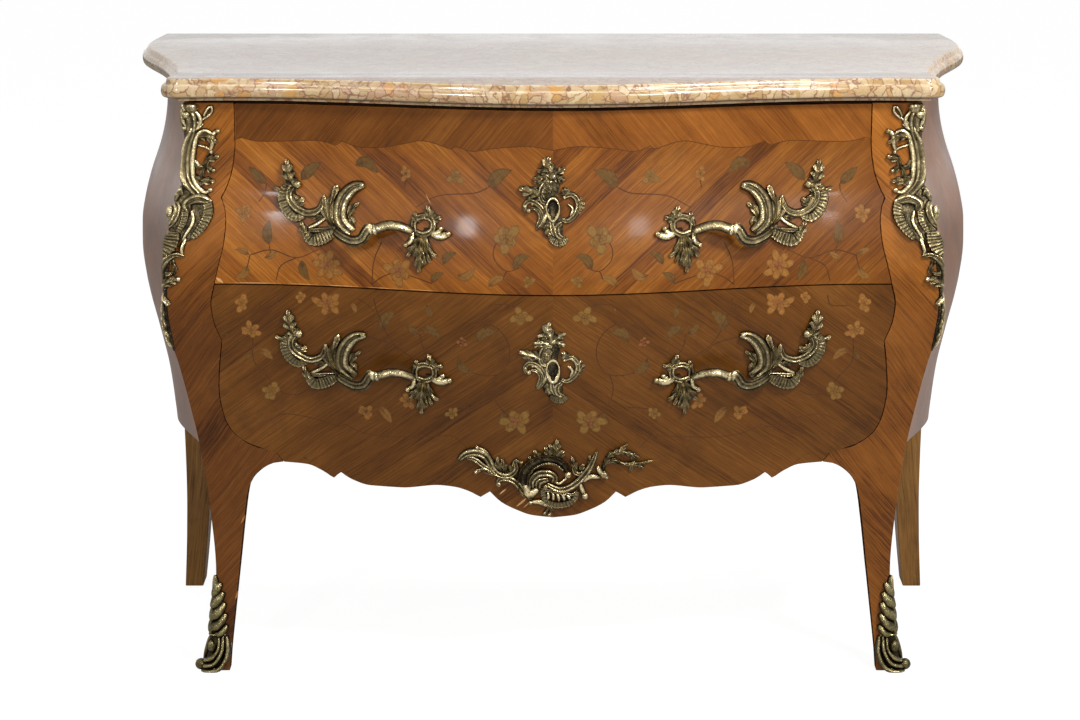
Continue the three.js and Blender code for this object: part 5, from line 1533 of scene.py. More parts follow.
def make_band(name, low, high, half_at, veneer):
    """Crossbanding between two lines across the front, low and high, each z for an x."""
    def spot(u, v, depth):
        x = (2 * u - 1) * half_at(BAND_GUESS)
        for _ in range(BAND_TRIES):
            z = low(x) + (high(x) - low(x)) * v
            x = (2 * u - 1) * (half_at(z) - BAND_INSET)
        return Vector((x, front_y(x, z) - depth, z))

    shape = new_shape()
    lay_slab(shape, *BAND_STEPS, lambda u, v: spot(u, v, BAND_PROUD), lambda u, v: spot(u, v, -INLAY_SINK))
    piece = set_down(name + "_band", shape, [veneer], sharp=INLAY_SHARP)
    settle(piece, name, "veneer")


# Finishes

def rgb(red, green, blue):
    return (red, green, blue, 1)


class Bench:
    """Puts nodes in one tree. Inputs are given by name or number, as values or as sockets."""

    def __init__(self, tree):
        self.tree = tree

    def feed(self, node, inputs):
        for key, value in inputs.items():
            if isinstance(value, bpy.types.NodeSocket):
                self.tree.links.new(value, node.inputs[key])
            else:
                node.inputs[key].default_value = value

    def put(self, kind, inputs=None, **settings):
        made = self.tree.nodes.new(kind)
        for name, value in settings.items():
            setattr(made, name, value)
        self.feed(made, inputs or {})
        return made

    def maths(self, operation, *values):
        return self.put("ShaderNodeMath", dict(enumerate(values)), operation=operation).outputs[0]

    def plus(self, first, second):
        return self.maths("ADD", first, second)

    def minus(self, first, second):
        return self.maths("SUBTRACT", first, second)

    def times(self, first, second):
        return self.maths("MULTIPLY", first, second)

    def off_middle(self, value):
        return self.maths("ABSOLUTE", self.minus(value, 0.5))

    def stray(self, base, value, reach, middle=0.5):
        """A base that a value about its middle pulls up and down."""
        return self.plus(base, self.times(self.minus(value, middle), reach))

    def mix(self, share, first, second, blend="MIX"):
        inputs = {0: share, 6: first, 7: second}
        return self.put("ShaderNodeMix", inputs, data_type="RGBA", blend_type=blend).outputs[2]

    def noise(self, place, scale, detail=4, roughness=0.6, distortion=0):
        inputs = {"Vector": place, "Scale": scale, "Detail": detail, "Roughness": roughness,
                  "Distortion": distortion}
        return self.put("ShaderNodeTexNoise", inputs).outputs["Fac"]

    def between(self, value, low, high, out_low=0, out_high=1):
        inputs = {0: value, 1: low, 2: high, 3: out_low, 4: out_high}
        return self.put("ShaderNodeMapRange", inputs, interpolation_type="SMOOTHSTEP").outputs[0]

    def patches(self, place, looks, levels):
        """Noise that shows between two levels."""
        return self.between(self.noise(place, *looks), *levels)

    def vector(self, x, y, z):
        return self.put("ShaderNodeCombineXYZ", {0: x, 1: y, 2: z}).outputs[0]

    def scaled(self, parts, factors):
        return self.vector(*[self.times(part, factor) for part, factor in zip(parts, factors)])

    def apart(self, vector):
        return self.put("ShaderNodeSeparateXYZ", {0: vector}).outputs


def new_group(name, inputs, outputs):
    """A node group whose sockets are named with their kinds."""
    group = bpy.data.node_groups.new(name, "ShaderNodeTree")
    for way, sockets in (("INPUT", inputs), ("OUTPUT", outputs)):
        for label, kind in sockets.items():
            group.interface.new_socket(label, in_out=way, socket_type="NodeSocket" + kind)
    bench = Bench(group)
    return group, bench, bench.put("NodeGroupInput").outputs, bench.put("NodeGroupOutput")


# Grain of the veneer, as (scales across and along it, detail, roughness, distortion)
DRIFT = ((0.01, 0.006), 2)
STREAKS = ((0.5, 0.0045), 5, 0.7, 0.3)
FIBRES = ((1.1, 0.02), 4, 0.7)
PORES = ((3.2, 0.13), 2, 0.5)
THREADS = ((0.17, 0.003), 3, 0.8)
CLOUD_SCALE = 0.009
CLOUD_SLICE = 3  # where the flat pattern is cut from the solid noise
CLOUD_DETAIL = 3
CLOUD_REACH = 0.3
DRIFT_REACH = 14
STREAK_SHARE = 0.45  # the fine fibres have the rest
MIDDLE_LEVELS = (0.34, 0.5)
LIGHT_LEVELS = (0.5, 0.66)
VENEER_GLOSS = (0.24, 0.3)  # the least roughness, and what the clouds add
FIBRE_RELIEF = 0.3
LEAF_SEEDS = (3.7, 31)  # for each leaf and for each side, so that no two are alike
# What darkens the veneer: the levels between which it shows, and its share
PORE_MARK = ((0.62, 0.72), 0.35)
THREAD_MARK = ((0.03, 0.004), 0.6)
JOINT_MARK = ((0.485, 0.497), 0.4)
THREAD_BREAKS = (0.4, 0.6)


def make_veneer_group():
    """Leaves of veneer laid side by side at an angle that is mirrored about x = 0."""
    group, bench, taken, given = new_group(
        "veneer leaves",
        {"Place": "Vector", "Turn": "Float", "Leaf Width": "Float", "Dark": "Color", "Middle": "Color",
         "Light": "Color", "Leaf Contrast": "Float"},
        {"Color": "Color", "Gloss": "Float", "Height": "Float"})
    p, q, _ = bench.apart(taken["Place"])
    side = bench.maths("SIGN", p)
    m = bench.maths("ABSOLUTE", p)
    cos = bench.maths("COSINE", taken["Turn"])
    sin = bench.maths("SINE", taken["Turn"])
    across = bench.plus(bench.times(m, cos), bench.times(q, sin))
    along = bench.minus(bench.times(q, cos), bench.times(m, sin))

    def drawn_out(run, third, scales, *looks):
        place = bench.vector(bench.times(run, scales[0]), bench.times(along, scales[1]), third)
        return bench.noise(place, 1, *looks)

    bent = bench.plus(across, bench.times(drawn_out(across, side, *DRIFT), DRIFT_REACH))
    count = bench.maths("DIVIDE", across, taken["Leaf Width"])
    number = bench.maths("FLOOR", count)
    seed = bench.plus(bench.times(number, LEAF_SEEDS[0]), bench.times(side, LEAF_SEEDS[1]))
    tone = bench.put("ShaderNodeTexWhiteNoise", {"W": seed}, noise_dimensions="1D").outputs["Value"]
    streaks = drawn_out(bent, seed, *STREAKS)
    fine = drawn_out(bent, seed, *FIBRES)
    cloud = bench.vector(bench.times(p, CLOUD_SCALE), bench.times(q, CLOUD_SCALE), CLOUD_SLICE)
    cloud = bench.noise(cloud, 1, CLOUD_DETAIL)
    value = bench.plus(bench.times(streaks, STREAK_SHARE), bench.times(fine, 1 - STREAK_SHARE))
    value = bench.stray(value, tone, taken["Leaf Contrast"])
    value = bench.stray(value, cloud, CLOUD_REACH)
    color = bench.mix(bench.between(value, *MIDDLE_LEVELS), taken["Dark"], taken["Middle"])
    color = bench.mix(bench.between(value, *LIGHT_LEVELS), color, taken["Light"])
    pore = bench.between(drawn_out(across, seed, *PORES), *PORE_MARK[0])
    thread = bench.between(bench.off_middle(drawn_out(bent, seed, *THREADS)), *THREAD_MARK[0])
    thread = bench.times(thread, bench.between(fine, *THREAD_BREAKS))
    joint = bench.between(bench.off_middle(bench.maths("FRACT", count)), *JOINT_MARK[0])
    for mark, share in ((pore, PORE_MARK[1]), (thread, THREAD_MARK[1]), (joint, JOINT_MARK[1])):
        color = bench.mix(bench.times(mark, share), color, taken["Dark"])
    gloss = bench.plus(VENEER_GLOSS[0], bench.times(cloud, VENEER_GLOSS[1]))
    height = bench.minus(bench.times(fine, FIBRE_RELIEF), bench.plus(pore, joint))
    bench.feed(given, {"Color": color, "Gloss": gloss, "Height": height})
    return group


GRIME_TINT = rgb(0.03, 0.012, 0.004)
SCUFF_TINT = rgb(0.6, 0.5, 0.4)
SCRATCH_SCALES = (0.9, 0.9, 0.06)
# Noises of the polish, as (scale, detail, roughness, distortion), and the levels where they show
GRIME = ((0.012, 5, 0.65), (0.5, 0.75))
SCRATCHES = ((1, 2, 0.5, 0.6), (0.74, 0.8))
SCUFF_SPOTS = ((0.02, 3, 0.6), (0.55, 0.7))
GLOSS_SCALE = 0.05
GLOSS_REACH = 0.16
SCUFF_DULLING = 0.3


def make_wear_group():
    """Old polish: patches of grime, and small pale scuffs and scratches."""
    group, bench, taken, given = new_group(
        "old polish",
        {"Color": "Color", "Gloss": "Float", "Place": "Vector", "Grime": "Float", "Scuffs": "Float"},
        {"Color": "Color", "Gloss": "Float"})
    place = taken["Place"]
    grime = bench.times(bench.patches(place, *GRIME), taken["Grime"])
    scratches = bench.patches(bench.scaled(bench.apart(place), SCRATCH_SCALES), *SCRATCHES)
    scuffs = bench.times(bench.times(scratches, bench.patches(place, *SCUFF_SPOTS)), taken["Scuffs"])
    color = bench.mix(scuffs, bench.mix(grime, taken["Color"], GRIME_TINT), SCUFF_TINT)
    gloss = bench.stray(taken["Gloss"], bench.noise(place, GLOSS_SCALE), GLOSS_REACH)
    bench.feed(given, {"Color": color, "Gloss": bench.plus(gloss, bench.times(scuffs, SCUFF_DULLING))})
    return group


# Noises of cast metal, as (scale, detail, roughness, distortion)
METAL_CLOUD = (0.09, 4, 0.65)
METAL_GRAIN = (0.7, 3)
CHASING = (0.26, 2, 0.55, 1.2)
CHASED_LEVELS = (0, 0.12)
CHASED_MIDDLE = 0.8
METAL_REACHES = (0.5, 0.1, 0.15)  # how far the cloud, the grain and the chasing move its level
BODY_LEVELS = (0.38, 0.8)
RUBBED_LEVELS = (0.78, 1.02)
METAL_GLOSS = (0.2, 1, 0.55, 0.24)
METAL_SHARE = (0.05, 0.5, 0.55, 1)
GRAIN_RELIEF = 0.25


def make_metal_group():
    """Cast metal: tarnish that lies in the hollows and rubbed gold on the crests."""
    group, bench, taken, given = new_group(
        "worn cast metal",
        {"Crest": "Float", "Place": "Vector", "Deep": "Color", "Body": "Color", "Rubbed": "Color"},
        {"Color": "Color", "Gloss": "Float", "Metal": "Float", "Height": "Float"})
    cloud = bench.noise(taken["Place"], *METAL_CLOUD)
    grain = bench.noise(taken["Place"], *METAL_GRAIN)
    chased = bench.between(bench.off_middle(bench.noise(taken["Place"], *CHASING)), *CHASED_LEVELS)
    level = bench.stray(taken["Crest"], cloud, METAL_REACHES[0])
    level = bench.stray(level, grain, METAL_REACHES[1])
    level = bench.stray(level, chased, METAL_REACHES[2], CHASED_MIDDLE)
    body = bench.mix(bench.between(level, *BODY_LEVELS), taken["Deep"], taken["Body"])
    bench.feed(given, {"Color": bench.mix(bench.between(level, *RUBBED_LEVELS), body, taken["Rubbed"]),
                       "Gloss": bench.between(level, *METAL_GLOSS),
                       "Metal": bench.between(level, *METAL_SHARE),
                       "Height": bench.plus(bench.times(grain, GRAIN_RELIEF), chased)})
    return group


# Scales along the grain and across it, both ways
BEND_SCALES = (0.003, 0.012, 0.012)
RING_SCALES = (0.004, 0.07, 0.07)
FIBRE_SCALES = (0.02, 0.9, 0.9)
BEND_REACH = 3
BROAD_LOOKS = (1, 4, 0.55, 0.5)
FIBRE_LOOKS = (1, 4, 0.7)
BROAD_SHARE = 0.6  # of the broad rings; the fibres have the rest
WOOD_LEVELS = (0.34, 0.66)
WOOD_GLOSS = (0.3, 0.8, 0.5, 0.8)


def make_wood_group():
    """Sawn or planed solid wood, its grain along one axis of the place."""
    group, bench, taken, given = new_group(
        "solid wood", {"Place": "Vector", "Dark": "Color", "Light": "Color"},
        {"Color": "Color", "Gloss": "Float", "Height": "Float"})
    parts = bench.apart(taken["Place"])
    bend = bench.times(bench.noise(bench.scaled(parts, BEND_SCALES), 1, 2), BEND_REACH)
    x, y, z = [bench.times(part, scale) for part, scale in zip(parts, RING_SCALES)]
    broad = bench.noise(bench.vector(x, bench.plus(y, bend), z), *BROAD_LOOKS)
    fibres = bench.noise(bench.scaled(parts, FIBRE_SCALES), *FIBRE_LOOKS)
    value = bench.plus(bench.times(broad, BROAD_SHARE), bench.times(fibres, 1 - BROAD_SHARE))
    color = bench.mix(bench.between(value, *WOOD_LEVELS), taken["Dark"], taken["Light"])
    bench.feed(given, {"Color": color, "Gloss": bench.between(fibres, *WOOD_GLOSS), "Height": fibres})
    return group


veneer_group = make_veneer_group()
wear_group = make_wear_group()
metal_group = make_metal_group()
wood_group = make_wood_group()


def new_material(name):
    material = bpy.data.materials.new(name)
    material.use_nodes = True
    return material, Bench(material.node_tree), material.node_tree.nodes["Principled BSDF"]


def new_finish(name):
    """The same with the place in millimetres."""
    material, bench, surface = new_material(name)
    place = bench.put("ShaderNodeTexCoord").outputs["Object"]
    place = bench.put("ShaderNodeMapping", {"Vector": place, "Scale": (1 / MM,) * 3}).outputs[0]
    return material, bench, surface, place


def use_group(bench, group, inputs):
    return bench.put("ShaderNodeGroup", inputs, node_tree=group).outputs


def dress(bench, surface, color, gloss, height, depth, coat=0.0, metal=0.0, blur=0.12, sheen=0.5):
    """Joins what the groups put out to the surface."""
    relief = bench.put("ShaderNodeBump", {"Height": height, "Strength": 1, "Distance": depth * MM}).outputs[0]
    bench.feed(surface, {"Base Color": color, "Roughness": gloss, "Metallic": metal, "Normal": relief,
                         "Coat Weight": coat, "Coat Roughness": blur, "Specular IOR Level": sheen})


# Depths of the fine relief, in millimetres
VENEER_RELIEF = 0.05
INLAY_RELIEF = 0.03
BRONZE_RELIEF = 0.1
IRON_RELIEF = 0.05
WOOD_RELIEF = 0.12
MARBLE_RELIEF = 0.05
RAIL_RELIEF = 0.05

# The veneer is darkened down to the feet between these heights
SHADE_TOP = 720
SHADE_LOW = 500
SHADE_TINT = rgb(0.37, 0.35, 0.37)
# Painted light: the upper field is painted brighter on its left half than on its right.
FIELD_FADE = 380  # half the width over which the upper field turns from its left shine to its right
# The right half is darkened less towards the feet, which is painted light from the right.
SHADE_RIGHT = 0.58  # share of the shade that the right half gets


def veneer_finish(name, slope, dark, middle, light, leaf_width=23, contrast=0.12, facing="front",
                  grime=0.35, scuffs=0.4, sheen=0.12, coat=0.06, blur=0.1, shade=0.0, painted_side_light=0.0, fade=1):
    """slope is the rise of the grain on the left half, in degrees. facing picks what runs across the
    face: x on the front, y on a side, both round a post. shade is how much it darkens to its foot; the
    right half darkens less, which is painted light from the right. The side-light share is how much
    brighter the right half is painted than the left half, beyond the fade, and is painted light too."""
    material, bench, surface, place = new_finish(name)
    x, y, z = bench.apart(place)
    if facing == "side":
        run = y
    elif facing == "post":
        run = bench.times(bench.plus(bench.maths("ABSOLUTE", x), y), bench.maths("SIGN", x))
    else:
        run = x
    grain = use_group(bench, veneer_group, {
        "Place": bench.vector(run, z, 0), "Turn": math.radians(90 - slope), "Leaf Width": leaf_width,
        "Dark": rgb(*dark), "Middle": rgb(*middle), "Light": rgb(*light), "Leaf Contrast": contrast})
    # Darker towards the feet; the right half darkens less, which is painted light from the right.
    shaded = bench.times(bench.between(z, SHADE_TOP, SHADE_LOW, 0, shade),
                         bench.between(x, -1, 1, 1, SHADE_RIGHT))
    color = bench.mix(shaded, grain["Color"], SHADE_TINT, "MULTIPLY")
    # Painted light: one half of the front is painted brighter than the other.
    shine = bench.between(x, -fade, fade, 1 - painted_side_light, 1 + painted_side_light)
    color = bench.mix(1.0, color, bench.vector(shine, shine, shine), "MULTIPLY")
    worn = use_group(bench, wear_group, {"Color": color, "Gloss": grain["Gloss"], "Place": place,
                                         "Grime": grime, "Scuffs": scuffs})
    dress(bench, surface, worn["Color"], worn["Gloss"], grain["Height"], VENEER_RELIEF, coat, blur=blur,
          sheen=sheen)
    return material


INLAY_SCALES = (0.9, 0.12)  # across and along the grain
INLAY_SLANT = 0.5
INLAY_CELL = (0.05, 1)
INLAY_GRAIN = (1, 4, 0.7)
BLOTCHES = (0.16, 3)
BLOTCH_SHARE = 0.5
INLAY_LEVELS = (0.36, 0.64)
BURNT_RIM = (0.8, 0.15)
BURNT_BLOTCH = (0.5, 0.62, 0, 0.6)
INLAY_GLOSS = (0.3, 0.7, 0.3, 0.42)
INLAY_COAT = 0.06
INLAY_SHEEN = 0.12
SCORCH_TINT = rgb(0.06, 0.022, 0.006)


def inlay_finish(name, dark, light, scorch=0.3):
    """A small piece of stained or scorched veneer, with its own fine grain."""
    material, bench, surface, place = new_finish(name)
    x, _, z = bench.apart(place)
    across = bench.plus(x, bench.times(z, INLAY_SLANT))
    along = bench.minus(z, bench.times(x, INLAY_SLANT))
    turned = bench.vector(bench.times(across, INLAY_SCALES[0]), bench.times(along, INLAY_SCALES[1]),
                          bench.noise(place, *INLAY_CELL))
    grain = bench.noise(turned, *INLAY_GRAIN)
    blotch = bench.noise(place, *BLOTCHES)
    value = bench.plus(bench.times(grain, 1 - BLOTCH_SHARE), bench.times(blotch, BLOTCH_SHARE))
    color = bench.mix(bench.between(value, *INLAY_LEVELS), rgb(*dark), rgb(*light))
    rim = bench.put("ShaderNodeAttribute", attribute_name="crest").outputs["Fac"]
    rim = bench.between(bench.stray(rim, blotch, 1), *BURNT_RIM)
    burnt = bench.times(bench.maths("MAXIMUM", rim, bench.between(blotch, *BURNT_BLOTCH)), scorch)
    color = bench.mix(burnt, color, SCORCH_TINT)
    dress(bench, surface, color, bench.between(grain, *INLAY_GLOSS), grain, INLAY_RELIEF, INLAY_COAT,
          sheen=INLAY_SHEEN)
    return material


BRONZE_LOW_DARKENING = (200, 110)  # heights between which the bronze darkens towards the floor
BRONZE_LOW_DARKENING_TINT = rgb(0.3, 0.3, 0.25)
BRONZE = {"Deep": rgb(0.014, 0.01, 0.006), "Body": rgb(0.2, 0.158, 0.08), "Rubbed": rgb(0.86, 0.71, 0.41)}


def bronze_finish():
    material, bench, surface, place = new_finish("gilt bronze")
    crest = bench.put("ShaderNodeAttribute", attribute_name="crest").outputs["Fac"]
    cast = use_group(bench, metal_group, {"Crest": crest, "Place": place, **BRONZE})
    low = bench.between(bench.apart(place)[2], *BRONZE_LOW_DARKENING)
    color = bench.mix(low, cast["Color"], BRONZE_LOW_DARKENING_TINT, "MULTIPLY")
    dress(bench, surface, color, cast["Gloss"], cast["Height"], BRONZE_RELIEF, metal=cast["Metal"])
    return material


IRON_TINTS = (rgb(0.1, 0.094, 0.088), rgb(0.06, 0.04, 0.03))
IRON_CLOUD = 0.05
IRON_GRAIN = 0.4
IRON_LEVELS = (0.4, 0.65)
IRON_GLOSS = (0.3, 0.7, 0.35, 0.6)


def iron_finish():
    material, bench, surface, place = new_finish("lock iron")
    cloud = bench.noise(place, IRON_CLOUD)
    color = bench.mix(bench.between(cloud, *IRON_LEVELS), *IRON_TINTS)
    gloss = bench.between(cloud, *IRON_GLOSS)
    dress(bench, surface, color, gloss, bench.noise(place, IRON_GRAIN), IRON_RELIEF, metal=1)
    return material


WOOD_WEAR = {"Grime": 0.4, "Scuffs": 0.2}


def wood_finish(name, dark, light, along="x"):
    material, bench, surface, place = new_finish(name)
    x, y, z = bench.apart(place)
    turned = (x, y, z) if along == "x" else (y, x, z)
    grain = use_group(bench, wood_group, {"Place": bench.vector(*turned), "Dark": rgb(*dark),
                                          "Light": rgb(*light)})
    worn = use_group(bench, wear_group, {"Color": grain["Color"], "Gloss": grain["Gloss"], "Place": place,
                                         **WOOD_WEAR})
    dress(bench, surface, worn["Color"], worn["Gloss"], grain["Height"], WOOD_RELIEF)
    return material


MARBLE_WARPS = ((0.02, 40), (0.09, 12))  # scale and reach of the bends in its veins
MARBLE_PIECES = 0.07
MARBLE_CLOUD = (0.014, 6, 0.65, 0.6)
MARBLE_DETAIL = 4
HAIR_FINENESS = 3
# Noises, and the levels where they show, some with the shares that they come to there
OCHRE_PATCHES = ((0.02,), (0.45, 0.6))
SPECKS = ((0.34, 4, 0.7), (0.6, 0.7, 0, 0.45))
VEIN_BREAKS = ((0.03,), (0.36, 0.52))
MARBLE_LEVELS = (0.1, 0.9)
CREAM_LEVELS = (0.46, 0.62, 0, 0.7)
OCHRE_KINDS = (0.72, 0.8, 0, 0.8)
ROSE_KINDS = (0.3, 0.22, 0, 0.6)
ROSE_LEVELS = (0.45, 0.6)
HAIR_WIDTH = (0.08, 0, 0, 0.5)
VEIN_WIDTHS = (0.1, 0, 0, 0.9)
# Painted shade: faces of the slab that point down are darkened, between these levels of the normal.
PAINTED_UNDER_SHADE = (-0.3, -0.8, 0, 0.8)
# The flat top face is turned greyer than the edges, between these levels of the normal.
TOP_FACE = (0.9, 0.99, 0, 0.7)
MARBLE_GLOSS = (0.3, 0.7, 0.1, 0.24)
MARBLE_COAT = 0.2
MARBLE_TINTS = (rgb(0.42, 0.27, 0.1), rgb(0.58, 0.44, 0.25))
CREAM_TINT = rgb(0.5, 0.37, 0.22)
OCHRE_TINT = rgb(0.55, 0.26, 0.05)
ROSE_TINT = rgb(0.42, 0.22, 0.13)
SPECK_TINT = rgb(0.3, 0.14, 0.06)
HAIR_TINT = rgb(0.34, 0.17, 0.08)
VEIN_TINT = rgb(0.2, 0.075, 0.04)
UNDER_SHADE_TINT = rgb(0.1, 0.07, 0.045)
TOP_FACE_TINT = rgb(0.28, 0.27, 0.28)


def marble_finish():
    """Breccia: broken ochre and cream pieces set in reddish veins, its flat top paler."""
    material, bench, surface, place = new_finish("breccia marble")
    warped = place
    for scale, reach in MARBLE_WARPS:
        warp = {"Vector": place, "Scale": scale, "Detail": MARBLE_DETAIL}
        warp = bench.put("ShaderNodeTexNoise", warp).outputs["Color"]
        warp = bench.put("ShaderNodeVectorMath", {0: warp, 1: (reach,) * 3}, operation="MULTIPLY").outputs[0]
        warped = bench.put("ShaderNodeVectorMath", {0: warped, 1: warp}, operation="ADD").outputs[0]

    def broken(feature, finer=1):
        inputs = {"Vector": warped, "Scale": finer * MARBLE_PIECES}
        return bench.put("ShaderNodeTexVoronoi", inputs, feature=feature).outputs

    tone, kind, _ = bench.apart(broken("F1")["Color"])
    cloud = bench.noise(place, *MARBLE_CLOUD)
    ochre = bench.times(bench.between(kind, *OCHRE_KINDS), bench.patches(place, *OCHRE_PATCHES))
    rose = bench.times(bench.between(kind, *ROSE_KINDS), bench.between(cloud, *ROSE_LEVELS))
    breaks = bench.patches(place, *VEIN_BREAKS)
    hair = bench.between(broken("DISTANCE_TO_EDGE", HAIR_FINENESS)["Distance"], *HAIR_WIDTH)
    vein = bench.between(broken("DISTANCE_TO_EDGE")["Distance"], *VEIN_WIDTHS)
    facing_up = bench.apart(bench.put("ShaderNodeNewGeometry").outputs["Normal"])[2]
    color = bench.mix(bench.between(tone, *MARBLE_LEVELS), *MARBLE_TINTS)
    for share, tint in (
            (bench.between(cloud, *CREAM_LEVELS), CREAM_TINT),
            (ochre, OCHRE_TINT),
            (rose, ROSE_TINT),
            (bench.patches(place, *SPECKS), SPECK_TINT),
            (bench.times(hair, breaks), HAIR_TINT),
            (bench.times(vein, breaks), VEIN_TINT),
            (bench.between(facing_up, *PAINTED_UNDER_SHADE), UNDER_SHADE_TINT),
            (bench.between(facing_up, *TOP_FACE), TOP_FACE_TINT)):
        color = bench.mix(share, color, tint)
    dress(bench, surface, color, bench.between(cloud, *MARBLE_GLOSS), cloud, MARBLE_RELIEF, MARBLE_COAT)
    return material


# Painted shade: near-black wood for the top front rail under the slab and for the faces of the front posts
# beside the drawers, where shade falls.
PAINTED_SHADE_TINTS = (rgb(0.012, 0.007, 0.005), rgb(0.05, 0.022, 0.012))
RAIL_GRAIN = 0.2
RAIL_GLOSS = (0.3, 0.7, 0.7, 0.9)


def painted_shade_finish():
    material, bench, surface, place = new_finish("painted shade wood")
    grain = bench.noise(place, RAIL_GRAIN)
    color = bench.mix(grain, *PAINTED_SHADE_TINTS)
    dress(bench, surface, color, bench.between(grain, *RAIL_GLOSS), grain, RAIL_RELIEF, sheen=0)
    return material


bronze = bronze_finish()
marble = marble_finish()
iron = iron_finish()
painted_shade_wood = painted_shade_finish()
case_wood = wood_finish("drawer oak", (0.3, 0.17, 0.07), (0.5, 0.32, 0.16))
case_wood_deep = wood_finish("drawer side oak", (0.3, 0.17, 0.07), (0.48, 0.3, 0.15), along="y")
back_wood = wood_finish("back boards", (0.09, 0.045, 0.02), (0.2, 0.11, 0.05))
leg_veneer = veneer_finish("rear post veneer", 84, (0.09, 0.04, 0.01), (0.21, 0.1, 0.026),
                           (0.3, 0.155, 0.045), leaf_width=24, facing="post", grime=0.3)
post_veneer = veneer_finish("front post veneer", 48, (0.1, 0.03, 0.005), (0.3, 0.098, 0.012),
                            (0.42, 0.155, 0.026), leaf_width=40, facing="post", scuffs=0.9, shade=1)
side_veneer = veneer_finish("side veneer", 48, (0.1, 0.034, 0.008), (0.19, 0.066, 0.015),
                            (0.26, 0.1, 0.027), leaf_width=26, facing="side", sheen=0.5, coat=0.55, blur=0.4)
# The side-light shares of these two fronts are painted light: the upper field brighter on its left, the band
# on its right.
upper_veneer = veneer_finish("upper front veneer", -42, (0.072, 0.019, 0.002), (0.205, 0.062, 0.0055),
                             (0.333, 0.12, 0.0145), contrast=0.16, sheen=0.16, painted_side_light=-0.18,
                             fade=FIELD_FADE)
upper_band_veneer = veneer_finish("upper band veneer", 50, (0.1, 0.03, 0.004), (0.19, 0.06, 0.008),
                                  (0.275, 0.096, 0.015), painted_side_light=0.22)
# Painted shade: the lower front's colours are darker than the upper front's, for the shade on the lower
# front, which faces down.
lower_veneer = veneer_finish("lower front veneer", 37, (0.055, 0.018, 0.003), (0.122, 0.042, 0.005),
                             (0.18, 0.067, 0.011))
# Woods of the inlay in the order of their slots, as (name, dark, light, share of scorching)
INLAY_WOODS = (
    ("stem wood", (0.06, 0.022, 0.006), (0.12, 0.042, 0.01), 0.3),
    ("leaf wood", (0.09, 0.045, 0.01), (0.16, 0.082, 0.02), 0.5),
    ("pale leaf wood", (0.17, 0.075, 0.014), (0.26, 0.12, 0.028), 0.5),
    ("petal wood", (0.23, 0.092, 0.018), (0.32, 0.145, 0.032), 0.6),
    ("inner petal wood", (0.2, 0.08, 0.016), (0.29, 0.125, 0.028), 0.6),
    ("honey wood", (0.18, 0.088, 0.018), (0.25, 0.13, 0.03), 0.6),
    ("deep honey wood", (0.15, 0.07, 0.014), (0.22, 0.105, 0.024), 0.6),
    ("blush wood", (0.2, 0.065, 0.022), (0.27, 0.09, 0.034), 0.4),
    ("line wood", (0.07, 0.024, 0.005), (0.12, 0.042, 0.009), 0.3),
)
inlay_woods = [inlay_finish(*wood) for wood in INLAY_WOODS]
chip_wood = inlay_finish("chipped leg wood", (0.3, 0.12, 0.03), (0.43, 0.18, 0.05), 0.1)
# Partly painted highlight: this pale wood also lines the upper drawer's lower edge.
bare_wood_and_highlight = inlay_finish("bare wood and highlight", (0.5, 0.24, 0.08), (0.74, 0.42, 0.19), 0.1)

STEM_SLOT, LEAF_SLOT, PALE_LEAF_SLOT, PETAL_SLOT, INNER_PETAL_SLOT, HONEY_SLOT, DEEP_HONEY_SLOT, \
    BLUSH_SLOT, LINE_SLOT = range(len(INLAY_WOODS))

# Flowers, as (x, z, radius, petals, slot of the petals, slot of the heart)
UPPER_FLOWERS = (
    (-204, 742, 11, 5, PETAL_SLOT, LEAF_SLOT),
    (-135, 741, 13, 5, HONEY_SLOT, DEEP_HONEY_SLOT),
    (-315, 612, 24, 7, PETAL_SLOT, BLUSH_SLOT),
    (-214, 609, 22, 6, PETAL_SLOT, BLUSH_SLOT),
    (-65, 660, 22, 5, HONEY_SLOT, DEEP_HONEY_SLOT),
    (-34, 602, 10, 5, HONEY_SLOT, DEEP_HONEY_SLOT),
    (-432, 681, 14, 6, PETAL_SLOT, INNER_PETAL_SLOT),
)
LOWER_FLOWERS = (
    (-437, 555, 14, 5, PETAL_SLOT, DEEP_HONEY_SLOT),
    (-425, 516, 16, 6, PETAL_SLOT, DEEP_HONEY_SLOT),
    (-316, 558, 22, 7, PETAL_SLOT, BLUSH_SLOT),
    (-353, 565, 9, 4, PETAL_SLOT, DEEP_HONEY_SLOT),
    (-44, 550, 16, 5, HONEY_SLOT, DEEP_HONEY_SLOT),
    (-52, 394, 24, 6, HONEY_SLOT, BLUSH_SLOT),
    (-400, 424, 16, 5, HONEY_SLOT, DEEP_HONEY_SLOT),
    (-205, 418, 14, 5, PETAL_SLOT, DEEP_HONEY_SLOT),
    (-142, 403, 11, 5, HONEY_SLOT, DEEP_HONEY_SLOT),
    (-126, 512, 8, 5, BLUSH_SLOT, BLUSH_SLOT),
    (-265, 398, 13, 5, PETAL_SLOT, LEAF_SLOT),
)

# Dressing the frame
DRAWERS = ("upper_drawer", "lower_drawer")


def paint(material, *nodes):
    for node in nodes:
        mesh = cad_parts[node].data
        mesh.materials.clear()
        mesh.materials.append(material)


paint(case_wood, "top_back_rail", "divider_front_rail", "dust_board", "bottom_front_rail", "bottom_board")
paint(back_wood, "back_board_upper", "back_board_lower")
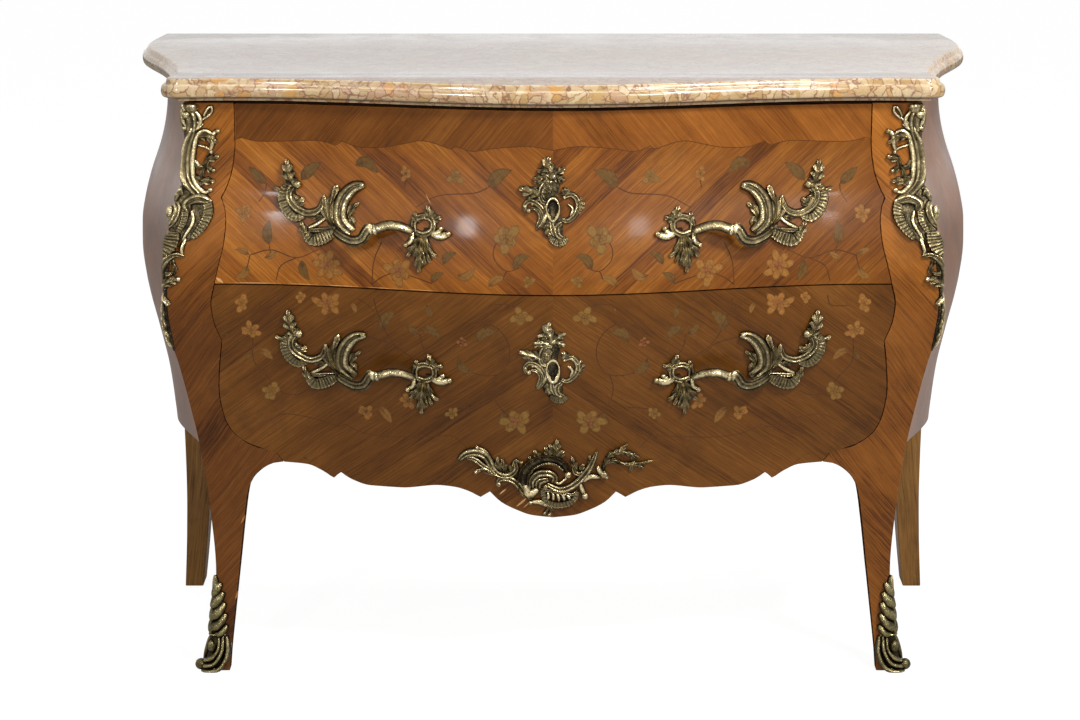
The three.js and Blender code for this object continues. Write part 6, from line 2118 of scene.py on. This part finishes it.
# Painted shade: the top front rail is near-black, for the shadow under the slab.
paint(painted_shade_wood, "top_front_rail")
for side in SIDES:
    paint(case_wood, "top_side_rail_" + side)
    paint(case_wood_deep, "upper_runner_" + side, "lower_runner_" + side)
for drawer in DRAWERS:
    paint(case_wood, drawer + "_back", drawer + "_bottom")
    paint(iron, drawer + "_lock_case", drawer + "_lock_bolt")
    for side in SIDES:
        paint(case_wood_deep, drawer + "_side_" + side)
        paint(iron, drawer + "_handle_nut_inner_" + side, drawer + "_handle_nut_outer_" + side)

make_slab()
upper_outline = front_outline(lambda x: DRAWER_JOINT + DRAWER_GAP, POST_TOP - DRAWER_GAP,
                              (DRAWER_JOINT, POST_TOP))
lower_outline = front_outline(apron_edge, DRAWER_JOINT - DRAWER_GAP,
                              (apron_edge(APRON_TIP * HALF_SPAN), DRAWER_JOINT))
apron_half = [share / APRON_TIP for share in places_along(APRON_EDGE, EDGE_STEP_SHARE)]
lower_places = [-u for u in reversed(apron_half[1:])] + apron_half
make_drawer_front("upper_drawer", upper_outline, UPPER_KEY, UPPER_HANDLE, upper_veneer,
                  spread(-1, 1, FRONT_STEPS[0]))
make_drawer_front("lower_drawer", lower_outline, LOWER_KEY, LOWER_HANDLE, lower_veneer, lower_places)


def line_height(lines):
    """Height of the left half's band line at a place, mirrored on the right."""
    points = sorted({point for line in lines for point in line})
    at = straight_through(points)
    return lambda x: at(min(max(-abs(x), points[0][0]), points[-1][0]))


make_band("upper_drawer", line_height(UPPER_LINES), lambda x: POST_TOP - DRAWER_GAP - BAND_INSET,
          lambda z: opening_edge(z) - DRAWER_GAP, upper_band_veneer)
make_marquetry("upper_drawer", UPPER_LEAVES, UPPER_PALE_LEAVES, UPPER_FLOWERS, UPPER_STEMS, UPPER_LINES)
make_marquetry("lower_drawer", LOWER_LEAVES, LOWER_PALE_LEAVES, LOWER_FLOWERS, LOWER_STEMS, LOWER_LINES)
make_chips("upper_drawer_chips_and_highlight", UPPER_CHIPS_AND_HIGHLIGHT, bare_wood_and_highlight, "upper_drawer")
make_chips("lower_drawer_chips", LOWER_CHIPS, bare_wood_and_highlight, "lower_drawer")
make_chips("leg_chips", LEG_CHIPS, chip_wood, "carcass")
for drawer, height, key, relief in zip(DRAWERS, (UPPER_HANDLE, LOWER_HANDLE), (UPPER_KEY, LOWER_KEY),
                                       (1, LOWER_RELIEF)):
    make_handles(drawer, height)
    make_escutcheon(drawer + "_escutcheon", key, drawer, relief)
make_apron_mount()
make_front_posts()
make_rear_posts()
make_side_panels()
make_corner_casts("corner_mount", CORNER_MOUNT, CORNER_STAND, CORNER_SCROLLS, CORNER_BALLS, CORNER_BOSS,
                  CORNER_FULLNESS, POST_TOP - SEAT_GAP)
make_corner_casts("sabot", SABOT, SABOT_STAND, SABOT_SCROLLS, SABOT_BALLS, SABOT_BOSS, SABOT_FULLNESS,
                  OVERALL_HEIGHT)

# Studio, in metres: a pale flat floor under a white ground, soft lamps and the camera
FLOOR_HALF = 9
FLOOR_COLOR = rgb(0.62, 0.62, 0.62)
FLOOR_ROUGHNESS = 0.8
FLOOR_GLOW = 0.7  # share of the plain white glow that the camera sees in the floor
GLOW = 1.32
WHITE = rgb(1, 1, 1)
AMBIENT = 0.24
# Lamps, as (name, place, aim, size, power)
LAMPS = (
    ("key lamp", (1.5, -1.9, 2.6), (0, 0, 0.6), (0.6, 0.45), 71),
    ("fill lamp", (-2.4, -2.4, 2.2), (0, 0, 0.5), (1.6, 1.2), 8),
    ("top lamp", (0, 0.2, 3), (0, 0, 0.6), (2.4, 1.6), 28),
    ("window lamp", (-1.31, -2.9, 1.62), (-0.13, -0.27, 0.7), (0.24, 0.2), 18),
    ("far window lamp", (1.31, -2.9, 1.62), (0.13, -0.27, 0.7), (0.24, 0.2), 9),
    ("sheen lamp", (1.54, -2.95, 2.05), (0.4, -0.45, 0.8), (0.9, 0.7), 16),
)
CAMERA_PLACE = (0, -4.4415, 1.438)
CAMERA_PITCH = 0.225
CAMERA_LENS = 102.23
CAMERA_SENSOR = 36
CAMERA_SHIFT = -0.01204


def make_floor():
    shape = bmesh.new()
    bmesh.ops.create_grid(shape, x_segments=1, y_segments=1, size=FLOOR_HALF)
    mesh = bpy.data.meshes.new("floor")
    shape.to_mesh(mesh)
    shape.free()
    floor = bpy.data.objects.new("floor", mesh)
    bpy.context.scene.collection.objects.link(floor)
    material, bench, surface = new_material("pale floor")
    bench.feed(surface, {"Base Color": FLOOR_COLOR, "Roughness": FLOOR_ROUGHNESS})
    glow = bench.put("ShaderNodeEmission", {"Color": WHITE, "Strength": GLOW}).outputs[0]
    seen = bench.put("ShaderNodeLightPath").outputs["Is Camera Ray"]
    mixed = {0: bench.times(seen, FLOOR_GLOW), 1: surface.outputs[0], 2: glow}
    both = bench.put("ShaderNodeMixShader", mixed).outputs[0]
    bench.feed(material.node_tree.nodes["Material Output"], {"Surface": both})
    mesh.materials.append(material)


def make_world():
    world = bpy.data.worlds.new("studio")
    bpy.context.scene.world = world
    world.use_nodes = True
    bench = Bench(world.node_tree)
    path = bench.put("ShaderNodeLightPath").outputs
    seen = bench.maths("MAXIMUM", path["Is Camera Ray"], path["Is Transmission Ray"])
    seen = bench.maths("MAXIMUM", seen, path["Is Glossy Ray"])
    strength = bench.plus(AMBIENT, bench.times(seen, 1 - AMBIENT))
    bench.feed(world.node_tree.nodes["Background"], {"Strength": strength, "Color": WHITE})


def make_lamp(name, place, aim, size, power):
    light = bpy.data.lights.new(name, "AREA")
    light.shape = "ELLIPSE"
    light.size, light.size_y = size
    light.energy = power
    lamp = bpy.data.objects.new(name, light)
    lamp.location = place
    lamp.rotation_euler = (Vector(aim) - Vector(place)).to_track_quat("-Z", "Y").to_euler()
    bpy.context.scene.collection.objects.link(lamp)


def make_camera():
    camera = bpy.data.cameras.new("camera")
    camera.lens = CAMERA_LENS
    camera.sensor_width = CAMERA_SENSOR
    camera.shift_x = CAMERA_SHIFT
    holder = bpy.data.objects.new("camera", camera)
    holder.location = CAMERA_PLACE
    holder.rotation_euler = (math.pi / 2 - CAMERA_PITCH, 0, 0)
    bpy.context.scene.collection.objects.link(holder)
    bpy.context.scene.camera = holder


make_floor()
make_world()
for lamp in LAMPS:
    make_lamp(*lamp)
make_camera()
bpy.context.scene.view_settings.view_transform = "Standard"
